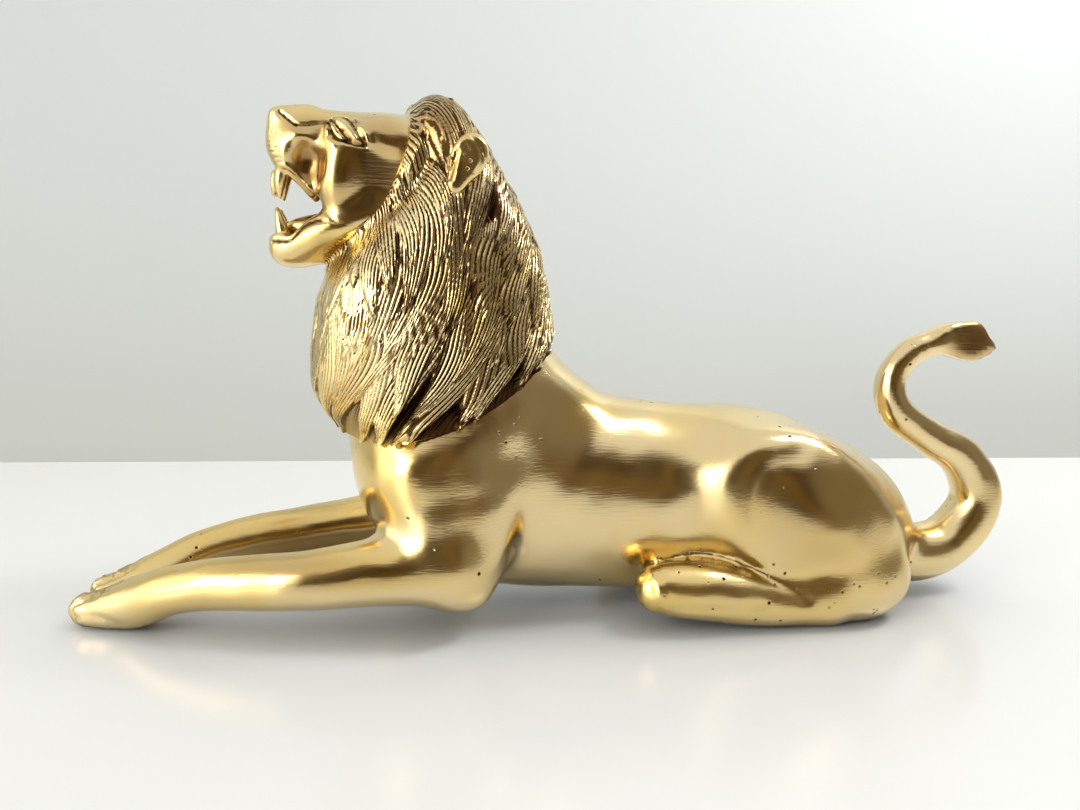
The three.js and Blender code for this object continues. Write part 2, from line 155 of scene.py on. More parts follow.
def smoothstep(x, low, high):
    t = np.clip((x - low) / (high - low), 0.0, 1.0)
    return t * t * (3.0 - 2.0 * t)


def bump(distance, width):
    return np.exp(-((distance / width) ** 2))


def profile(*stations):
    """A smooth function of one variable through a few stations, flat past its ends."""
    xs, ys = np.array(stations, float).T
    before = np.maximum(np.arange(len(xs)) - 1, 0)
    after = np.minimum(np.arange(len(xs)) + 1, len(xs) - 1)
    slopes = (ys[after] - ys[before]) / (xs[after] - xs[before])

    def value(x):
        i = np.clip(np.searchsorted(xs, x, side="right") - 1, 0, len(xs) - 2)
        span = xs[i + 1] - xs[i]
        t = np.clip((x - xs[i]) / span, 0.0, 1.0)
        rest = 1.0 - t
        ends = (1.0 + 2.0 * t) * rest * rest * ys[i] + t * t * (3.0 - 2.0 * t) * ys[i + 1]
        return ends + (t * rest * rest * slopes[i] - t * t * rest * slopes[i + 1]) * span

    return value


def ellipsoid(center, radii, tilt=0.0, power=2.0):
    """An ellipsoid turned about Y, nose down for a positive tilt; a higher power squares it."""
    c, s = math.cos(math.radians(tilt)), math.sin(math.radians(tilt))
    rx, ry, rz = radii

    def value(x, y, z):
        dx, dz = x - center[0], z - center[2]
        px = np.abs(c * dx - s * dz) / rx
        py = np.abs(y - center[1]) / ry
        pz = np.abs(s * dx + c * dz) / rz
        if power != 2.0:
            near = (px ** power + py ** power + pz ** power) ** (1.0 / power)
            return (near - 1.0) * min(radii)
        near = np.sqrt(px * px + py * py + pz * pz)
        steep = np.sqrt((px / rx) ** 2 + (py / ry) ** 2 + (pz / rz) ** 2)
        return near * (near - 1.0) / np.maximum(steep, 1e-6)

    return value


def pillow(center, radii, tilt=0.0, power=2.8):
    """A form that is oval in side view and has a broad flat side with a rounded rim."""
    c, s = math.cos(math.radians(tilt)), math.sin(math.radians(tilt))
    rx, ry, rz = radii

    def value(x, y, z):
        dx, dz = x - center[0], z - center[2]
        around = np.hypot((c * dx - s * dz) / rx, (s * dx + c * dz) / rz)
        near = (around ** power + np.abs((y - center[1]) / ry) ** power) ** (1.0 / power)
        return (near - 1.0) * min(radii)

    return value


def limb(*stations, steps=6):
    """A round limb that follows a smooth curve through (x, y, z, radius) stations."""
    given = np.array(stations, float)
    lengths = np.linalg.norm(np.diff(given[:, :3], axis=0), axis=1)
    along = np.concatenate([[0.0], np.cumsum(lengths)])
    places = np.linspace(0.0, along[-1], steps * (len(stations) - 1) + 1)
    nodes = np.stack([profile(*zip(along, given[:, n]))(places) for n in range(4)], axis=1)
    low = (nodes[:, :3] - nodes[:, 3:]).min(axis=0) - SOFT
    high = (nodes[:, :3] + nodes[:, 3:]).max(axis=0) + SOFT

    def value(x, y, z):
        out = np.full(x.shape, FAR)
        near = (x > low[0]) & (x < high[0]) & (y > low[1]) & (y < high[1]) & (z > low[2]) & (z < high[2])
        point = np.stack([x[near], y[near], z[near]])
        best = np.full(point.shape[1], FAR)
        for a, b in zip(nodes[:-1], nodes[1:]):
            axis = (b - a)[:3, None]
            offset = point - a[:3, None]
            t = np.clip((offset * axis).sum(axis=0) / (axis * axis).sum(), 0.0, 1.0)
            gap = np.sqrt(((offset - axis * t) ** 2).sum(axis=0))
            best = np.minimum(best, gap - (a[3] + (b[3] - a[3]) * t))
        out[near] = best
        return out

    return value


def oval(across, up, half_width, half_height):
    near = np.sqrt((across / half_width) ** 2 + (up / half_height) ** 2)
    steep = np.sqrt((across / half_width ** 2) ** 2 + (up / half_height ** 2) ** 2)
    return near * (near - 1.0) / np.maximum(steep, 1e-6)


def stroke(across, up, points):
    """Distance, in one plane, to a smooth line through a few points."""
    given = np.array(points, float)
    along = np.concatenate([[0.0], np.cumsum(np.linalg.norm(np.diff(given, axis=0), axis=1))])
    places = np.linspace(0.0, along[-1], 4 * (len(points) - 1) + 1)
    nodes = np.stack([profile(*zip(along, given[:, n]))(places) for n in range(2)], axis=1)
    best = np.full(across.shape, FAR)
    for a, b in zip(nodes[:-1], nodes[1:]):
        ux, uz = b - a
        t = np.clip(((across - a[0]) * ux + (up - a[1]) * uz) / (ux * ux + uz * uz), 0.0, 1.0)
        best = np.minimum(best, np.hypot(across - a[0] - ux * t, up - a[1] - uz * t))
    return best


# Trunk: oval sections between the line of the back and the line of the belly.
back_line = profile(
    (-84, 62), (-58, 88), (-22, 101), (12, 96), (46, 92),
    (86, 88), (110, 80), (130, 68), (147, 53), (160, 36))
belly_line = profile((-86, 42), (-70, 24), (-44, 12), (0, 8), (60, 6), (110, 5), (140, 8), (160, 22))
flank_line = profile((-84, 24), (-58, 39), (-20, 36.5), (25, 34), (65, 34), (110, 34), (140, 27), (160, 12))
TRUNK_FRONT = -86.0
TRUNK_REAR = 161.0


def trunk(x, y, z):
    top, bottom = back_line(x), belly_line(x)
    section = oval(y, z - (top + bottom) / 2, flank_line(x), (top - bottom) / 2)
    return carve(section, -np.maximum(TRUNK_FRONT - x, x - TRUNK_REAR), FIRM)


# Neck: oval sections stacked from the chest up to the crown.
throat_line = profile(
    (56, -94), (68, -96.5), (80, -101), (92, -108), (106, -113.5), (131, -113.5), (147, -111),
    (160, -102), (176, -87), (192, -76), (206, -70), (214, -66))
nape_line = profile(
    (56, -20), (98, -6), (112, -13), (124, -20), (145, -24), (158, -28), (172, -34.5), (189, -45),
    (202, -53), (214, -61))
neck_half_width = profile(
    (56, 33), (80, 37), (105, 39), (132, 38), (155, 34.5), (175, 31), (195, 26), (214, 16))
NECK_BOTTOM = 56.0
NECK_TOP = 212.0
crown = ellipsoid((-68.6, 0, 198.3), (14.0, 21, 18.7), -10)


def neck(x, y, z):
    front, back = throat_line(z), nape_line(z)
    section = oval(y, x - (front + back) / 2, neck_half_width(z), (back - front) / 2)
    return carve(section, -np.maximum(NECK_BOTTOM - z, z - NECK_TOP), SOFT)


# Forequarters and hindquarters, drawn for one side and mirrored.
FORELEG_SPREAD = 38.0
PAW_SPREAD = 11.0
HAUNCH_SIDE = WIDTH / 2 - 2
shoulder = ellipsoid((-62, 21, 62), (29, 23, 34), -12)
breast = ellipsoid((-66, 0, 61), (29, 32, 30), 14)
upper_arm = limb((-72, 28, 66, 20), (-66, 33, 48, 17.5), (-63, FORELEG_SPREAD - 1, 33, 14.5))
elbow = limb((-54, 37, 24, 12), (-47, 35, 38, 13.5), (-46, 29, 58, 15))
forearm = limb(
    (-63, FORELEG_SPREAD, 30, 14.2), (-88, FORELEG_SPREAD + 0.5, 29, 13.6),
    (-120, FORELEG_SPREAD - 1, 25.5, 11.6), (-150, FORELEG_SPREAD - 8, 22.8, 10.6),
    (-170, PAW_SPREAD + 13, 18.8, 9.8),
    (-187, PAW_SPREAD + 5, 11, 10.4), (-200, PAW_SPREAD + 1, 7.4, 8.6), (-207.2, PAW_SPREAD, 6.6, 7.2))
thigh = pillow((92.5, HAUNCH_SIDE - 29.5, 46.3), (52, 27, 36), 35)
thigh_muscle = pillow((95.5, HAUNCH_SIDE - 27, 45), (41, 28.6, 26.5), 36, 2.05)
seat = ellipsoid((116, HAUNCH_SIDE - 20, 17), (30, 17, 17.6))
rump = ellipsoid((121, 0, 36.5), (36, 30, 31))
hind_foot = limb((104, 37, 12, 12.0), (74, 38, 13.2, 12.4), (46, 38.5, 17.2, 12.8), (28, 38.5, 18.6, 10.8))

# Tail: it leaves the rump low down, rises in an S and ends in a leaf with flat sides.
TAIL_ROOT = 14.5
TAIL_BEND = 12.0
TAIL_TIP = 6.6
LEAF_SIDE = 5.6
LEAF_CORNER = 3.0
LEAF_RIM = 2.0
LEAF_OUTLINE = (
    (168, 127), (174, 131.6), (183, 133.4), (192, 133.4), (202.5, 120.2), (189.7, 113.3), (171, 118.5))
tail = limb(
    (142, 0, 27, TAIL_ROOT), (166, 0, 19, TAIL_ROOT), (187, 0, 24, TAIL_BEND + 1),
    (201.5, 0, 45, TAIL_BEND), (192, 0, 65.5, TAIL_BEND - 1.8), (171, 0, 78, TAIL_BEND - 3.6),
    (154, 0, 90, TAIL_TIP + 1.2), (150.2, 0, 104.6, TAIL_TIP + 0.4), (159, 0, 117.6, TAIL_TIP),
    (174, 0, 124, TAIL_TIP - 0.4), steps=8)


def leaf(x, y, z):
    """The cut end of the tail: flat sides with an outline of straight edges."""
    edge = np.full(x.shape, -FAR)
    for (ax, az), (bx, bz) in zip(LEAF_OUTLINE, LEAF_OUTLINE[1:] + LEAF_OUTLINE[:1]):
        out = np.array((az - bz, bx - ax)) / math.hypot(bx - ax, bz - az)
        edge = carve(edge, -((x - ax) * out[0] + (z - az) * out[1]), LEAF_CORNER)
    return carve(edge, LEAF_SIDE - np.abs(y), LEAF_RIM)


# Lines cut or pressed into the flanks: points in side view, width and depth.
FLANK_LINES = (
    (((66, 27.8), (78, 21.5), (90, 15)), 2.6, 1.1),
    (((84, 77), (69, 74), (62, 63), (65.5, 47), (76, 31), (90, 20)), 4.5, 0.9),
    (((-38, 36), (-33, 56), (-36, 70)), 13.0, 2.2),
    (((-41, 96), (-58, 91), (-76, 85)), 6.0, 1.0),
    (((74, 17.5), (82, 14.8), (90, 13.8)), 1.2, 0.45),
    (((-72, 57.5), (-58, 60), (-44, 62.5)), 4.5, 0.5),
)
RECESS = (97.5, 31.5)
RECESS_RADII = (15.5, 14.5)
RECESS_DEPTH = 2.1
FLANK_FROM = 24.0


def flank_carving(x, side, z):
    """How deep the flank is carved at a point, in millimetres."""
    depth = np.zeros_like(x)
    outer = side > FLANK_FROM
    for points, width, cut in FLANK_LINES:
        depth[outer] += cut * bump(stroke(x[outer], z[outer], points), width)
    reach = np.hypot((x - RECESS[0]) / RECESS_RADII[0], (z - RECESS[1]) / RECESS_RADII[1])
    dish = np.clip(1.0 - reach * reach, 0.0, 1.0)
    depth += np.where(outer, RECESS_DEPTH * dish * dish, 0.0)
    return depth


# Slow unevenness that filing by hand left on the skin: waves in radians per millimetre, and heights.
HAND_WAVES = (
    ((0.19, 0.06, 0.15), 0.10), ((-0.10, 0.17, 0.22), 0.08),
    ((0.29, -0.20, -0.17), 0.05), ((0.37, 0.12, -0.33), 0.04))
HAND_SHIFT = 9.0


def hand_work(x, y, z):
    return sum(height * np.sin(a * x + b * y + c * z + HAND_SHIFT * b) for (a, b, c), height in HAND_WAVES)


# Toes: cuts between them run back over each paw.
FORE_PAW_BACK = -180.0
FORE_PAW_SIDE = 30.0
FORE_TOE_CUTS = (-3.9, 0.0, 3.9)
FORE_TOE_ENDS = (188.0, 202.0)
FORE_TOE_DEPTH = 1.5
FORE_TOE_LINES = ((((-212, 5.5), (-203, 7), (-192, 5.2)), 1.0, 0.9),)
TOE_CUT_WIDTH = 0.95
HIND_PAW = (8.0, 76.0)
HIND_PAW_TOP = 36.0
HIND_PAW_INNER = 24.0
HIND_TOE_LINES = (
    (((20, 29), (22, 20), (27, 9)), 1.2, 0.9),
    (((24, 31), (27, 22), (31, 12)), 1.2, 0.8),
    (((36, 14), (52, 13), (70, 14)), 1.8, 0.8),
)
paw_middle = profile((-215, PAW_SPREAD), (-207, PAW_SPREAD), (-200, PAW_SPREAD + 1), (-187, PAW_SPREAD + 5))
HIND_TOE_CUTS = (36.5, 41.0, 45.5)
HIND_TOE_ENDS = (-26.0, -19.0)


def toe_carving(x, side, z):
    depth = np.zeros_like(x)
    fore = (x < FORE_PAW_BACK) & (side < FORE_PAW_SIDE)
    xf, yf, zf = x[fore], side[fore], z[fore]
    fade = smoothstep(-xf, *FORE_TOE_ENDS)
    for offset in FORE_TOE_CUTS:
        depth[fore] += FORE_TOE_DEPTH * fade * bump(yf - paw_middle(xf) - offset, TOE_CUT_WIDTH)
    for points, width, cut in FORE_TOE_LINES:
        depth[fore] += cut * bump(stroke(xf, zf, points), width)
    hind = (x > HIND_PAW[0]) & (x < HIND_PAW[1]) & (z < HIND_PAW_TOP) & (side > HIND_PAW_INNER)
    xh, yh, zh = x[hind], side[hind], z[hind]
    for points, width, cut in HIND_TOE_LINES:
        depth[hind] += cut * bump(stroke(xh, zh, points), width)
    for place in HIND_TOE_CUTS:
        depth[hind] += smoothstep(-xh, *HIND_TOE_ENDS) * bump(yh - place, TOE_CUT_WIDTH)
    return depth


# Head: skull, brow, muzzle, cheeks and jaw, then the mouth is cut out of them.
skull = ellipsoid((-84, 0, 190.3), (26, 22.5, 20.6))
forehead = ellipsoid((-92, 0, 200.3), (22, 15, 9.0))
bridge = ellipsoid((-112.5, 0, 200.7), (21.5, 9.5, 9.0))
snout = ellipsoid((-117.0, 0, 197.8), (13.6, 12.5, 12.0))
nose = ellipsoid((-124.6, 0, 204.0), (9.4, 9.4, 8.6), -5, 4.6)
whisker_pad = ellipsoid((-125.0, 5.5, 194.0), (8.6, 8.0, 8.8), 12)
upper_lip = ellipsoid((-118, 8.4, 185.6), (10, 4.4, 6.0), 34)
cheek = ellipsoid((-92, 12.5, 186), (16, 10.5, 18), 28)
cheekbone = ellipsoid((-105.2, 11.2, 186.5), (9.4, 9.3, 17.3), 7)
temple = ellipsoid((-87, 14.5, 198.0), (9, 7, 5), 20)
CHEEK_SIDE = 18.6
CHEEK_LEAN = 0.16
CHEEK_LEVEL = 186.0
chin = ellipsoid((-126.3, 0, 157), (7.8, 9.2, 7.8), 0, 2.6)
jaw = limb((-92, 10, 171, 8), (-107, 10.5, 165, 7.8), (-120, 7, 159.5, 7), (-126.5, 3, 157.5, 6.5))
jaw_floor = ellipsoid((-112, 0, 158), (16, 10, 7.5), -14)
pad_hollow = ellipsoid((-118.6, 17.6, 188.8), (6.8, 8.6, 10.6), 10)
HEAD_BACK = -36.0
HEAD_FLOOR = 134.0

# Mouth: the upper and lower lip lines in side view, and the hollow behind them.
upper_lip_line = profile(
    (-138, 186), (-132.8, 185.6), (-127.4, 187.2), (-123.7, 185),
    (-120.6, 182), (-116.5, 176.5), (-113.5, 173.6))
lower_lip_line = profile(
    (-138, 161), (-130, 162), (-125.5, 161), (-122, 164.2), (-118, 168.4), (-113.5, 172.6))
MOUTH_CORNER = -113.5
LIP_STEEPNESS = 0.8
palate = ellipsoid((-118.5, 0, 173.2), (10.5, 7.2, 11.0), 8)
tongue = limb((-108, 0, 167, 5.2), (-117, 0, 165.5, 5.0), (-124, 0, 165, 3.4), (-127.5, 0, 164.5, 2.2))
upper_fang = limb((-128.4, 6.0, 189, 2.9), (-129.6, 5.8, 182, 2.3), (-129.8, 5.4, 176.2, 0.8))
lower_fang = limb((-128.2, 5.8, 160, 3.0), (-129.8, 5.6, 166.5, 2.1), (-131.0, 5.2, 171.6, 0.9))
upper_front_teeth = ellipsoid((-132.4, 0, 182.2), (1.5, 5.0, 5.4), 0, 3.0)
lower_front_teeth = ellipsoid((-131.0, 0, 164.0), (1.5, 4.6, 2.6), 0, 3.0)
back_teeth = limb((-126, 7.4, 186.5, 1.4), (-121, 8.2, 182, 1.5), (-117, 8.4, 177.5, 1.3))
eyeball = ellipsoid((-106.4, 13.2, 201.2), (5.6, 4.8, 4.2), 44)

# Lines chased on the face: points in side view, width, and depth (negative stands out).
FACE_LINES = (
    (((-129.1, 208.9), (-126.2, 206.4), (-122.6, 203.6)), 0.65, 0.9),
    (((-122.6, 203.9), (-118.3, 204.0), (-113.8, 205.0), (-110.2, 205.4)), 0.65, 0.7),
    (((-109.8, 204.8), (-108.6, 201.4), (-106.3, 198.4), (-102.4, 197.4)), 0.68, 1.1),
    (((-109.2, 206.9), (-106.0, 203.3), (-103.0, 199.6), (-101.2, 198.0)), 0.7, 1.0),
    (((-107.6, 208.4), (-103.4, 207.4), (-100.2, 203.6), (-97.6, 199.0), (-95.4, 196.6)), 0.68, 1.1),
    (((-102.4, 197.4), (-98.5, 196.2), (-95.2, 196.2)), 0.7, 0.9),
    (((-106.6, 207.6), (-103.4, 204.6), (-101.0, 201.2), (-98.6, 198.4)), 1.7, -1.3),
    (((-97.6, 203.8), (-95.7, 201.3), (-94.0, 197.0)), 1.2, -1.2),
    (((-99.6, 206.2), (-97.4, 203.0), (-96.2, 199.0)), 1.0, 0.6),
    (((-122.4, 200.2), (-118.3, 198.8), (-114.4, 196.2)), 2.6, -1.1),
    (((-110.4, 203.4), (-110.6, 199.0), (-108.0, 196.2)), 1.3, -0.6),
    (((-132.4, 158.4), (-125.5, 158.8), (-119.0, 165.0), (-113.4, 167.3)), 0.9, 0.7),
    (((-112.1, 171.8), (-109.4, 169.2), (-106.7, 166.0)), 0.7, 0.3),
    (((-112.6, 166.4), (-108.5, 166.8), (-104.4, 166.1)), 0.7, 0.3),
    (((-133.2, 184.8), (-127.6, 187.9), (-120.8, 183.6), (-116.2, 177.6)), 1.0, -0.7),
)
WHISKER_ROWS = 8
WHISKER_FIRST = 187.5
WHISKER_STEP = 1.9
WHISKER_FRONT = -134.6
WHISKER_BACK = -128.0
WHISKER_FAN = (0.25, 0.3)
WHISKER_RISE = 0.6
WHISKER_WIDTH = 0.5
WHISKER_DEPTH = 0.4
FACE_SIDE = (4.5, 7.5)


def face_carving(x, side, z):
    """How deep the face is cut at a point of its side, in millimetres."""
    depth = np.zeros_like(x)
    for points, width, cut in FACE_LINES:
        depth += cut * bump(stroke(x, z, points), width)
    for row in range(WHISKER_ROWS):
        level = WHISKER_FIRST + WHISKER_STEP * row
        front, back = WHISKER_FRONT + WHISKER_FAN[0] * row, WHISKER_BACK - WHISKER_FAN[1] * row
        line = stroke(x, z, ((front, level + WHISKER_RISE), (back, level)))
        depth += WHISKER_DEPTH * bump(line, WHISKER_WIDTH)
    return depth * smoothstep(side, *FACE_SIDE)


def mouth(x, y, z):
    opening = np.maximum(z - upper_lip_line(x), lower_lip_line(x) - z) * LIP_STEEPNESS
    opening = np.maximum(opening, x - MOUTH_CORNER)
    return blend(opening, palate(x, y, z), LIP_FILLET)


def head_forms(x, y, z):
    """The smooth upper head, before its details."""
    upper = blend(skull(x, y, z), forehead(x, y, z), FIRM)
    upper = blend(upper, blend(snout(x, y, z), bridge(x, y, z), FIRM), FIRM)
    return blend(upper, cheek(x, np.abs(y), z), FIRM)


def head(x, y, z):
    side = np.abs(y)
    flat_side = CHEEK_SIDE + CHEEK_LEAN * (z - CHEEK_LEVEL) - side
    upper = carve(head_forms(x, y, z), flat_side, CHEEK_EDGE)
    upper = blend(upper, cheekbone(x, side, z), CHEEKBONE_FILLET)
    upper = blend(upper, temple(x, side, z), LIP_FILLET)
    upper = blend(upper, blend(nose(x, y, z), whisker_pad(x, side, z), TIGHT), TIGHT)
    upper = blend(upper, upper_lip(x, side, z), LIP_FILLET)
    upper = carve(upper, pad_hollow(x, side, z), PAD_EDGE)
    lower = blend(blend(jaw(x, side, z), chin(x, y, z), TIGHT), jaw_floor(x, y, z), TIGHT)
    face = blend(blend(upper, lower, TIGHT), eyeball(x, side, z), FINE_FILLET)
    face = face + face_carving(x, side, z)
    face = carve(face, mouth(x, y, z), MOUTH_EDGE)
    for part in (upper_fang, lower_fang, back_teeth):
        face = blend(face, part(x, side, z), FINE_FILLET)
    for part in (tongue, upper_front_teeth, lower_front_teeth):
        face = blend(face, part(x, y, z), FINE_FILLET)
    return face


# Ears: cupped leaves with a rolled rim, standing out of the mane.
ear_top = ellipsoid((-55.4, 33.2, 192.6), (7.2, 5.4, 8.8), 19)
ear_point = ellipsoid((-59.2, 33.0, 185.2), (4.4, 4.6, 8.2), 19)
EAR_SIDE = 36.4
EAR_LEAN = 0.06
EAR_LEVEL = 190.0
EAR_FILLET = 4.0
EAR_RIM = 1.0
EAR_CUT_SIDE = (31.0, 34.0)
EAR_LINES = (
    (((-54.8, 199.2), (-51.8, 195.3), (-50.9, 190.6), (-53.2, 186.0)), 0.7, 0.6),
    (((-60.4, 193.5), (-61.8, 188.0), (-62.8, 183.4)), 0.9, 1.3),
    (((-57.8, 196.2), (-56.2, 193.6), (-58.4, 191.4)), 0.7, 0.4),
)


def ear(x, side, z):
    shell = blend(ear_top(x, side, z), ear_point(x, side, z), EAR_FILLET)
    shell = carve(shell, EAR_SIDE + EAR_LEAN * (z - EAR_LEVEL) - side, EAR_RIM)
    for points, width, cut in EAR_LINES:
        shell = shell + cut * bump(stroke(x, z, points), width) * smoothstep(side, *EAR_CUT_SIDE)
    return shell


# The body on which the mane lies, and the whole bare casting without the mane.
def body(x, y, z):
    side = np.abs(y)
    form = blend(trunk(x, y, z), rump(x, y, z), SOFT)
    form = blend(form, breast(x, y, z), SOFT)
    form = blend(form, shoulder(x, side, z), FIRM)
    form = blend(form, upper_arm(x, side, z), FIRM)
    form = blend(form, elbow(x, side, z), FIRM)
    form = blend(form, forearm(x, side, z), FIRM)
    form = blend(form, neck(x, y, z), SOFT)
    form = blend(form, crown(x, y, z), FIRM)
    form = blend(form, blend(thigh(x, side, z), seat(x, side, z), FIRM), HAUNCH_FILLET)
    form = blend(form, thigh_muscle(x, side, z), MUSCLE_FILLET)
    form = blend(form, hind_foot(x, side, z), TIGHT)
    form = blend(form, tail(x, y, z), TIGHT)
    return blend(form, leaf(x, y, z), MUSCLE_FILLET)


def mane_bed(x, y, z):
    """The body and the smooth forms of the head, without its mouth: what the mane lies on."""
    side = np.abs(y)
    form = body(x, y, z)
    near = (x < HEAD_BACK) & (z > HEAD_FLOOR)
    at = (x[near], y[near], z[near])
    under = blend(jaw(at[0], side[near], at[2]), jaw_floor(*at), TIGHT)
    form[near] = blend(blend(form[near], head_forms(*at), HEAD_SEAM), under, TIGHT)
    return form


def bare_lion(x, y, z):
    side = np.abs(y)
    form = body(x, y, z) + hand_work(x, y, z) + flank_carving(x, side, z) + toe_carving(x, side, z)
    near = (x < HEAD_BACK) & (z > HEAD_FLOOR)
    at = (x[near], y[near], z[near])
    high = blend(form[near], head(*at), HEAD_SEAM)
    form[near] = blend(high, ear(at[0], side[near], at[2]), EAR_SEAM)
    return np.maximum(form, -z)


# Sampling lattice: its columns and rows draw together as they rise towards the head.
LATTICE_X = ((-219, 1.7), (-176, 2.6), (-60, 3.2), (5, 2.7), (30, 2.4), (105, 2.5), (140, 3.0), (219, 3.0))
LATTICE_Y = ((-57, 2.1), (-30, 2.1), (0, 2.3), (30, 2.1), (57, 2.1))
LATTICE_Z = ((-3, 1.6), (34, 2.4), (60, 3.0), (120, 2.6), (138, 1.6), (150, 0.85), (212, 0.85), (226, 1.1))
HEAD_COLUMNS = (-140.0, -44.0)
HEAD_COLUMN_STEP = 0.85
HEAD_HALF_WIDTH = 42.0
GATHER_FROM = 112.0
GATHER_TO = 156.0
BLOCK = 4
NEAR_SHARE = 0.9


# The corners of a lattice cell.
CORNERS = [(n & 1, n >> 1 & 1, n >> 2 & 1) for n in range(8)]


def at_corner(corner):
    """Picks, from an array of lattice places, the same corner of every cell."""
    return tuple(slice(n, n - 1 or None) for n in corner)


def graded(stations):
    """Places along an axis, spaced as (place, step) stations say, in a whole number of blocks."""
    step = profile(*stations)
    fine = np.linspace(stations[0][0], stations[-1][0], 4001)
    count = np.concatenate([[0.0], np.cumsum(np.diff(fine) / step((fine[1:] + fine[:-1]) / 2))])
    blocks = math.ceil(count[-1] / BLOCK)
    return np.interp(np.linspace(0.0, count[-1], blocks * BLOCK + 1), count, fine)


def lattice():
    low, high, levels = graded(LATTICE_X), graded(LATTICE_Y), graded(LATTICE_Z)
    inner = int((HEAD_COLUMNS[1] - HEAD_COLUMNS[0]) / HEAD_COLUMN_STEP)
    lead = 4
    head_x = np.interp(
        np.arange(len(low)), [0, lead, lead + inner, len(low) - 1],
        [low[0], HEAD_COLUMNS[0], HEAD_COLUMNS[1], low[-1]])
    head_y = high * (HEAD_HALF_WIDTH / high[-1])
    gather = smoothstep(levels, GATHER_FROM, GATHER_TO)[None, None, :]
    x = low[:, None, None] * (1 - gather) + head_x[:, None, None] * gather
    y = high[None, :, None] * (1 - gather) + head_y[None, :, None] * gather
    shape = (len(low), len(high), len(levels))
    return [np.broadcast_to(a, shape).astype(np.float64) for a in (x, y, levels[None, None, :])]


def sample(field, places):
    """The field's values on the lattice, worked out only in blocks that the surface may cross."""
    coarse = [a[::BLOCK, ::BLOCK, ::BLOCK] for a in places]
    values = field(*[a.ravel() for a in coarse]).reshape(coarse[0].shape)
    spread = np.zeros(np.array(values.shape) - 1)
    near = np.full(spread.shape, np.inf)
    for corner in CORNERS:
        near = np.minimum(near, np.abs(values[at_corner(corner)]))
    for axis, place in enumerate(coarse):
        step = np.diff(place, axis=axis)
        rest = [slice(None, -1)] * 3
        rest[axis] = slice(None)
        spread += step[tuple(rest)] ** 2
    active = near < NEAR_SHARE * np.sqrt(spread)
    cells = active.repeat(BLOCK, 0).repeat(BLOCK, 1).repeat(BLOCK, 2)
    needed = np.zeros(places[0].shape, bool)
    for corner in CORNERS:
        needed[at_corner(corner)] |= cells
    picks = [(np.arange(n) + BLOCK // 2) // BLOCK for n in places[0].shape]
    out = np.where(values < 0, -FAR, FAR)[np.ix_(*picks)]
    out[needed] = field(*[a[needed] for a in places])
    return out


# A lattice cell's edges and faces, and how the surface patches cross it.
EDGES = [
    (m, n) for m in range(8) for n in range(m + 1, 8)
    if sum(abs(a - b) for a, b in zip(CORNERS[m], CORNERS[n])) == 1]
FACES = [
    [e for e, (m, n) in enumerate(EDGES) if CORNERS[m][axis] == CORNERS[n][axis] == side]
    for axis in range(3) for side in (0, 1)]


def edge_from(start, axis):
    first = start[0] + 2 * start[1] + 4 * start[2]
    return EDGES.index((first, first + (1 << axis)))


def patch_table():
    """For each pattern of corners inside the metal, the patch that each crossed edge is on."""
    table = np.full((256, len(EDGES)), -1)
    for pattern in range(256):
        inside = [pattern >> n & 1 for n in range(8)]
        crossed = [inside[m] != inside[n] for m, n in EDGES]
        group = list(range(len(EDGES)))
        for face in FACES:
            cut = [e for e in face if crossed[e]]
            metal = {e: next(n for n in EDGES[e] if inside[n]) for e in cut}
            for a in cut:
                for b in cut:
                    if (len(cut) == 2 or metal[a] == metal[b]) and group[a] != group[b]:
                        old, new = group[a], group[b]
                        group = [new if g == old else g for g in group]
        names = sorted({group[e] for e in range(len(EDGES)) if crossed[e]})
        for e in range(len(EDGES)):
            if crossed[e]:
                table[pattern, e] = names.index(group[e])
    return table


# Settling of the sampled points onto the surface: probe and reach in millimetres, rounds, least slope.
PROBE = 0.08
SETTLE_REACH = 0.9
SETTLE_ROUNDS = 3
FLATTEST = 0.2


def settle(field, points):
    """Draws points onto the surface along the field's slope."""
    start = points.copy()
    for _ in range(SETTLE_ROUNDS):
        value = field(*points.T)
        slope = np.stack([
            (field(*(points + PROBE * np.eye(3)[axis]).T) - value) / PROBE for axis in range(3)], axis=1)
        steep = np.maximum((slope ** 2).sum(axis=1), FLATTEST)
        moved = points - slope * (value / steep)[:, None]
        points = np.clip(moved, start - SETTLE_REACH, start + SETTLE_REACH)
    return points


